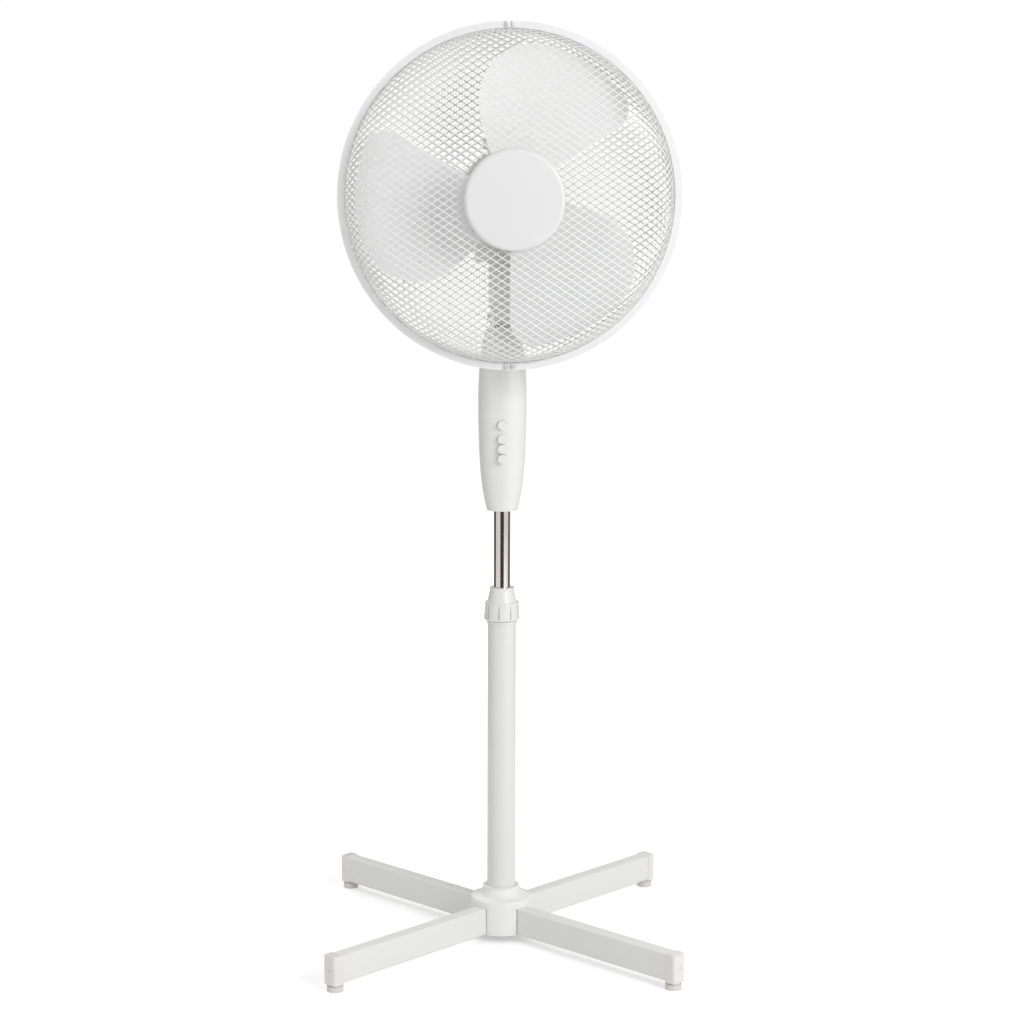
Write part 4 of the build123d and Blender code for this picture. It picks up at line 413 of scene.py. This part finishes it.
def diamond_dish(name, profile, cell, strand, relief, thickness):
    """Make a dished diamond mesh: a lattice of strands laid over the turned profile by its length."""
    points = np.array(profile)
    steps = np.hypot(*np.diff(points, axis=0).T)
    along = np.concatenate([[0], np.cumsum(steps)]) + points[0, 1]
    start, reach = along[0], along[-1]
    half_width, half_height = cell[0] / 2, cell[1] / 2
    share = 1 - strand / 2 * math.hypot(half_width, half_height) / (half_width * half_height)
    nudge, weld = 1e-4, 2e-5

    def lay(spot):
        """Put a lattice point on the dish, raised along its normal."""
        x, y, lift = spot
        length = min(max(math.hypot(x, y), start), reach)
        depth, radius = (np.interp(length, along, points[:, k]) for k in (0, 1))
        ends = np.clip([length - nudge, length + nudge], start, reach)
        slope = np.array([np.diff(np.interp(ends, along, points[:, k]))[0] for k in (0, 1)])
        slope = slope / np.hypot(*slope)
        depth, radius = depth + slope[1] * lift, radius - slope[0] * lift
        turn = math.atan2(y, x)
        outward = rightward * math.cos(turn) + upward * math.sin(turn)
        return tuple(hub_point + ahead * depth + outward * radius)

    def trim(outline, limit, side):
        """Cut a strand's outline where it passes a circle about the shaft."""
        kept = []
        for index, here in enumerate(outline):
            before = outline[index - 1]
            stays, stayed = (side * (limit - np.hypot(*spot[:2])) >= 0 for spot in (here, before))
            if stays != stayed:
                step = here - before
                square, cross = step[:2] @ step[:2], before[:2] @ step[:2]
                root = math.sqrt(cross**2 - square * (before[:2] @ before[:2] - limit**2))
                crossings = ((-cross - root) / square, (-cross + root) / square)
                kept.append(before + step * min(crossings, key=lambda at: abs(at - 0.5)))
            if stays:
                kept.append(here)
        return kept

    spots, faces = [], []
    rows, columns = (int(reach / half) + 2 for half in (half_height, half_width))
    directions = np.array(
        [(half_width, 0, 0), (0, half_height, 1), (-half_width, 0, 0), (0, -half_height, -1)]
    )
    for row in range(-rows, rows + 1):
        for column in range(-columns, columns + 1):
            middle = np.array([column * half_width, row * half_height, 0])
            if (column + row) % 2 or not start - cell[0] < np.hypot(*middle[:2]) < reach + cell[0]:
                continue
            outer = middle + directions * (1, 1, 0)
            inner = middle + directions * (share, share, relief)
            for side in range(len(directions)):
                after = (side + 1) % len(directions)
                outline = [outer[side], outer[after], inner[after], inner[side]]
                outline = trim(outline, reach, 1)
                if len(outline) > 2:
                    outline = trim(outline, start, -1)
                if len(outline) > 2:
                    faces.append(range(len(spots), len(spots) + len(outline)))
                    spots.extend(lay(spot) for spot in outline)
    mesh = bpy.data.meshes.new(name)
    mesh.from_pydata(spots, [], [tuple(face) for face in faces])
    joined = bmesh.new()
    joined.from_mesh(mesh)
    bmesh.ops.remove_doubles(joined, verts=joined.verts, dist=weld)
    bmesh.ops.dissolve_degenerate(joined, edges=joined.edges, dist=weld)
    joined.to_mesh(mesh)
    joined.free()
    piece = bpy.data.objects.new(name, mesh)
    bpy.context.scene.collection.objects.link(piece)
    thick = piece.modifiers.new("sheet", "SOLIDIFY")
    thick.thickness = thickness
    thick.offset = 0
    return piece


def dish_profile(crown, eye, corner, side, rim, round_radius):
    """Give the turned profile of a guard: crown line, rounded shoulder and side wall."""
    start, bend, end = np.array([crown, eye]), np.array(corner), np.array([rim, side])
    first = (start - bend) / np.hypot(*(start - bend))
    second = (end - bend) / np.hypot(*(end - bend))
    half = math.acos(float(first @ second)) / 2
    tangent = round_radius / math.tan(half)
    middle = (first + second) / np.hypot(*(first + second))
    centre = bend + middle * round_radius / math.sin(half)
    arc_start, arc_end = bend + first * tangent - centre, bend + second * tangent - centre
    angle = math.atan2(arc_start[1], arc_start[0])
    turn = math.atan2(
        arc_start[0] * arc_end[1] - arc_start[1] * arc_end[0], float(arc_start @ arc_end)
    )
    profile = [start]
    arc_steps = 24
    for step in range(arc_steps + 1):
        at = angle + turn * step / arc_steps
        profile.append(centre + round_radius * np.array([math.cos(at), math.sin(at)]))
    profile.append(end)
    return profile


def rim_wire(name, depth, radius, thickness):
    """Make a round wire ring about the shaft."""
    curve = bpy.data.curves.new(name, "CURVE")
    curve.dimensions = "3D"
    curve.bevel_depth = thickness / 2
    curve.bevel_resolution = 3
    ring = curve.splines.new("POLY")
    count = 192
    ring.points.add(count - 1)
    for step in range(count):
        turn = 2 * math.pi * step / count
        spot = hub_point + ahead * depth
        spot = spot + (rightward * math.cos(turn) + upward * math.sin(turn)) * radius
        ring.points[step].co = (*spot, 1)
    ring.use_cyclic_u = True
    piece = bpy.data.objects.new(name, curve)
    bpy.context.scene.collection.objects.link(piece)
    return piece


mesh_surface = surface_finish("coated_mesh_surface", patch_scale=25, grain_scale=900)
mesh_coat = finish_material(
    "coated_mesh",
    mesh_surface,
    light=(0.84, 0.835, 0.83),
    dark=(0.78, 0.775, 0.77),
    gloss=0.52,
    dull=0.64,
    bump=0.1,
)
shoulder_radius, side_radius, shoulder_round = 0.2038, 0.2063, 0.0443
mesh_cell = (0.0145, 0.0095)
rim_radius, rim_thickness = 0.2075, 0.0016
rear_rim_depth = 0.1024
rear_profile = dish_profile(
    crown=0.0399,
    eye=0.046,
    corner=(0.0549, shoulder_radius),
    side=side_radius,
    rim=rear_rim_depth,
    round_radius=shoulder_round,
)
rear_mesh = diamond_dish(
    "rear_guard_mesh", rear_profile, mesh_cell, strand=0.0016, relief=0.0004, thickness=0.0009
)
rear_rim = rim_wire("rear_guard_rim", rear_rim_depth, rim_radius, rim_thickness)
for piece in (rear_mesh, rear_rim):
    piece.data.materials.append(mesh_coat)
    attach(piece, "head")
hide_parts("rear_guard")
dress(mesh_coat, "rear_guard_plate")
nut_plastic = finish_material(
    "guard_nut_plastic",
    moulded_surface,
    light=(0.80, 0.80, 0.79),
    dark=(0.76, 0.76, 0.75),
    gloss=0.35,
    dull=0.5,
    bump=0.1,
)
dress(nut_plastic, "guard_nut")

# Propeller: one moulding of three broad twisted blades on a hollow hub, held by a spinner nut.
# Milky white plastic, smooth and slightly glossy.
blade_surface = surface_finish("milky_plastic_surface", patch_scale=7, grain_scale=500)
# The blades' own milky white, raised above the other plastics as painted light: it stands in for
# light through the thin blades and lifts the shade between the guards.
blade_plastic = finish_material(
    "blade_plastic",
    blade_surface,
    light=(0.91, 0.915, 0.915),
    dark=(0.89, 0.895, 0.895),
    gloss=0.26,
    dull=0.36,
    bump=0.04,
)
dress(blade_plastic, "fan_blade", "blade_nut")

# Front guard: the same slit sheet as the rear guard, dished the other way, with its plate and cap.
# The mesh is white coated; the round cap is satin pale grey plastic pressed over the plate.
front_rim_depth = 0.1136
front_profile = dish_profile(
    crown=0.1676,
    eye=0.052,
    corner=(0.1526, shoulder_radius),
    side=side_radius,
    rim=front_rim_depth,
    round_radius=shoulder_round,
)
front_mesh = diamond_dish(
    "front_guard_mesh", front_profile, mesh_cell, strand=0.0012, relief=0.0003, thickness=0.0008
)
front_rim = rim_wire("front_guard_rim", front_rim_depth, rim_radius, rim_thickness)
for piece in (front_mesh, front_rim):
    piece.data.materials.append(mesh_coat)
    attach(piece, "head")
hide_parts("front_guard")
cap_finish = finish_material(
    "front_cap_plastic",
    moulded_surface,
    light=(0.78, 0.78, 0.78),
    dark=(0.75, 0.75, 0.75),
    gloss=0.38,
    dull=0.5,
    bump=0.1,
)
dress(mesh_coat, "front_guard_plate")
dress(cap_finish, "front_cap")

# Guard ring: two grooved half rings screwed together at the top and the bottom to clamp the guards.
# Pale, slightly lilac plastic with a soft gloss; small zinc plated screws.
ring_plastic = finish_material(
    "ring_plastic",
    moulded_surface,
    light=(0.84, 0.835, 0.845),
    dark=(0.81, 0.805, 0.815),
    gloss=0.42,
    dull=0.54,
    bump=0.05,
)
dress(ring_plastic, "guard_ring_left", "guard_ring_right")
# The screws' zinc is painted much lighter than the other zinc: painted light that offsets the dark
# reflection of the studio cards.
screw_metal_painted_light = finish_material(
    "ring_screws_painted_light",
    zinc_surface,
    light=(0.84, 0.84, 0.85),
    dark=(0.74, 0.74, 0.75),
    gloss=0.45,
    dull=0.6,
    bump=0.1,
    metal=1.0,
)
dress(screw_metal_painted_light, "ring_screws")

# Studio: a white floor and a pale world, with soft boxes at the upper right, the left and behind.
# The floor shows white to the camera and keeps the fan's soft shadow; dark cards, which only
# mirrors show, give the chrome its stripes.


def seen_as_backdrop(tree, rays):
    """Give a socket that is 1 for camera, mirror and glass rays."""
    seen = rays.outputs["Is Camera Ray"]
    for kind in ("Is Glossy Ray", "Is Transmission Ray"):
        either = tree.nodes.new("ShaderNodeMath")
        either.operation = "MAXIMUM"
        tree.links.new(seen, either.inputs[0])
        tree.links.new(rays.outputs[kind], either.inputs[1])
        seen = either.outputs["Value"]
    return seen


floor_mesh = bpy.data.meshes.new("studio_floor")
floor_side, floor_near, floor_far = 6, -4, 8
floor_corners = [
    (-floor_side, floor_near, 0),
    (floor_side, floor_near, 0),
    (floor_side, floor_far, 0),
    (-floor_side, floor_far, 0),
]
floor_mesh.from_pydata(floor_corners, [], [(0, 1, 2, 3)])
floor = bpy.data.objects.new("studio_floor", floor_mesh)
bpy.context.scene.collection.objects.link(floor)
floor_paint = bpy.data.materials.new("studio_floor_paint")
floor_paint.use_nodes = True
floor_nodes, floor_links = floor_paint.node_tree.nodes, floor_paint.node_tree.links
floor_nodes.clear()
floor_out = floor_nodes.new("ShaderNodeOutputMaterial")
floor_sum = floor_nodes.new("ShaderNodeAddShader")
floor_base = floor_nodes.new("ShaderNodeBsdfDiffuse")
floor_base.inputs["Color"].default_value = (0.85, 0.85, 0.85, 1)
floor_glow = floor_nodes.new("ShaderNodeEmission")
floor_rays = floor_nodes.new("ShaderNodeLightPath")
floor_level = floor_nodes.new("ShaderNodeMath")
floor_level.operation = "MULTIPLY"
floor_place = floor_nodes.new("ShaderNodeTexCoord")
floor_reach = floor_nodes.new("ShaderNodeVectorMath")
floor_reach.operation = "LENGTH"
floor_fade = floor_nodes.new("ShaderNodeMapRange")
for label, value in (("From Min", 0.35), ("From Max", 1.6), ("To Min", 0.36), ("To Max", 0.6)):
    floor_fade.inputs[label].default_value = value
floor_links.new(floor_place.outputs["Object"], floor_reach.inputs[0])
floor_links.new(floor_reach.outputs["Value"], floor_fade.inputs["Value"])
floor_links.new(floor_fade.outputs["Result"], floor_level.inputs[1])
floor_links.new(seen_as_backdrop(floor_paint.node_tree, floor_rays), floor_level.inputs[0])
floor_links.new(floor_level.outputs["Value"], floor_glow.inputs["Strength"])
floor_links.new(floor_base.outputs["BSDF"], floor_sum.inputs[0])
floor_links.new(floor_glow.outputs["Emission"], floor_sum.inputs[1])
floor_links.new(floor_sum.outputs["Shader"], floor_out.inputs["Surface"])
floor_mesh.materials.append(floor_paint)

world = bpy.data.worlds.new("studio_world")
bpy.context.scene.world = world
world.use_nodes = True
sky_nodes, sky_links = world.node_tree.nodes, world.node_tree.links
sky = sky_nodes["Background"]
sky.inputs["Color"].default_value = (1, 1, 1, 1)
sky_rays = sky_nodes.new("ShaderNodeLightPath")
sky_level = sky_nodes.new("ShaderNodeMapRange")
sky_level.inputs["To Min"].default_value = 0.55
sky_level.inputs["To Max"].default_value = 1.0
sky_links.new(seen_as_backdrop(world.node_tree, sky_rays), sky_level.inputs["Value"])
sky_links.new(sky_level.outputs["Result"], sky.inputs["Strength"])


def studio_lamp(name, place, size, power):
    """Hang a square soft box at a place, aimed at the middle of the fan."""
    target = (0, 0, 0.7)
    lamp = bpy.data.lights.new(name, "AREA")
    lamp.size = size
    lamp.energy = power
    holder = bpy.data.objects.new(name, lamp)
    holder.location = place
    holder.rotation_euler = (Vector(target) - Vector(place)).to_track_quat("-Z", "Y").to_euler()
    bpy.context.scene.collection.objects.link(holder)


studio_lamp("key_soft_box", place=(2.1, -2.3, 1.8), size=1.4, power=54)
studio_lamp("fill_soft_box", place=(-2.2, -1.6, 1.6), size=1.6, power=7)
studio_lamp("back_soft_box", place=(-1.3, 2.6, 2.2), size=1.6, power=24)


def studio_flag(name, start, end, tone):
    """Stand a dark card round the fan, from one bearing to another, for the chrome to mirror."""
    distance, top, weave = 1.25, 1.3, 0.8
    first, last = (
        (distance * math.sin(bearing), -distance * math.cos(bearing))
        for bearing in (math.radians(start), math.radians(end))
    )
    card = bpy.data.meshes.new(name)
    card.from_pydata(
        [(*first, 0), (*last, 0), (*last, top), (*first, top)], [], [(0, 1, 2, 3)]
    )
    darker = tuple(weave * part for part in tone)
    cloth = finish_material(
        name + "_cloth", moulded_surface, tone, darker, gloss=0.8, dull=0.9, bump=0.1
    )
    card.materials.append(cloth)
    flag = bpy.data.objects.new(name, card)
    bpy.context.scene.collection.objects.link(flag)
    flag.visible_camera = False
    flag.visible_diffuse = False
    flag.visible_shadow = False


studio_flag("front_flag", start=-24, end=25, tone=(0.10, 0.09, 0.08))
studio_flag("right_flag", start=92, end=148, tone=(0.26, 0.24, 0.22))
studio_flag("back_flag", start=168, end=204, tone=(0.12, 0.11, 0.10))
studio_flag("left_flag", start=-146, end=-94, tone=(0.14, 0.13, 0.12))

camera_data = bpy.data.cameras.new("photo_camera")
camera_data.lens = 76.3
camera_data.sensor_width = 36
camera_data.clip_end = 50
camera = bpy.data.objects.new("photo_camera", camera_data)
camera.location = (0.0118, -2.861, 0.974)
camera_dip, camera_roll = 7.8, -0.19
camera.rotation_euler = (math.radians(90 - camera_dip), math.radians(camera_roll), 0)
bpy.context.scene.collection.objects.link(camera)
bpy.context.scene.camera = camera
bpy.context.scene.view_settings.view_transform = "Standard"
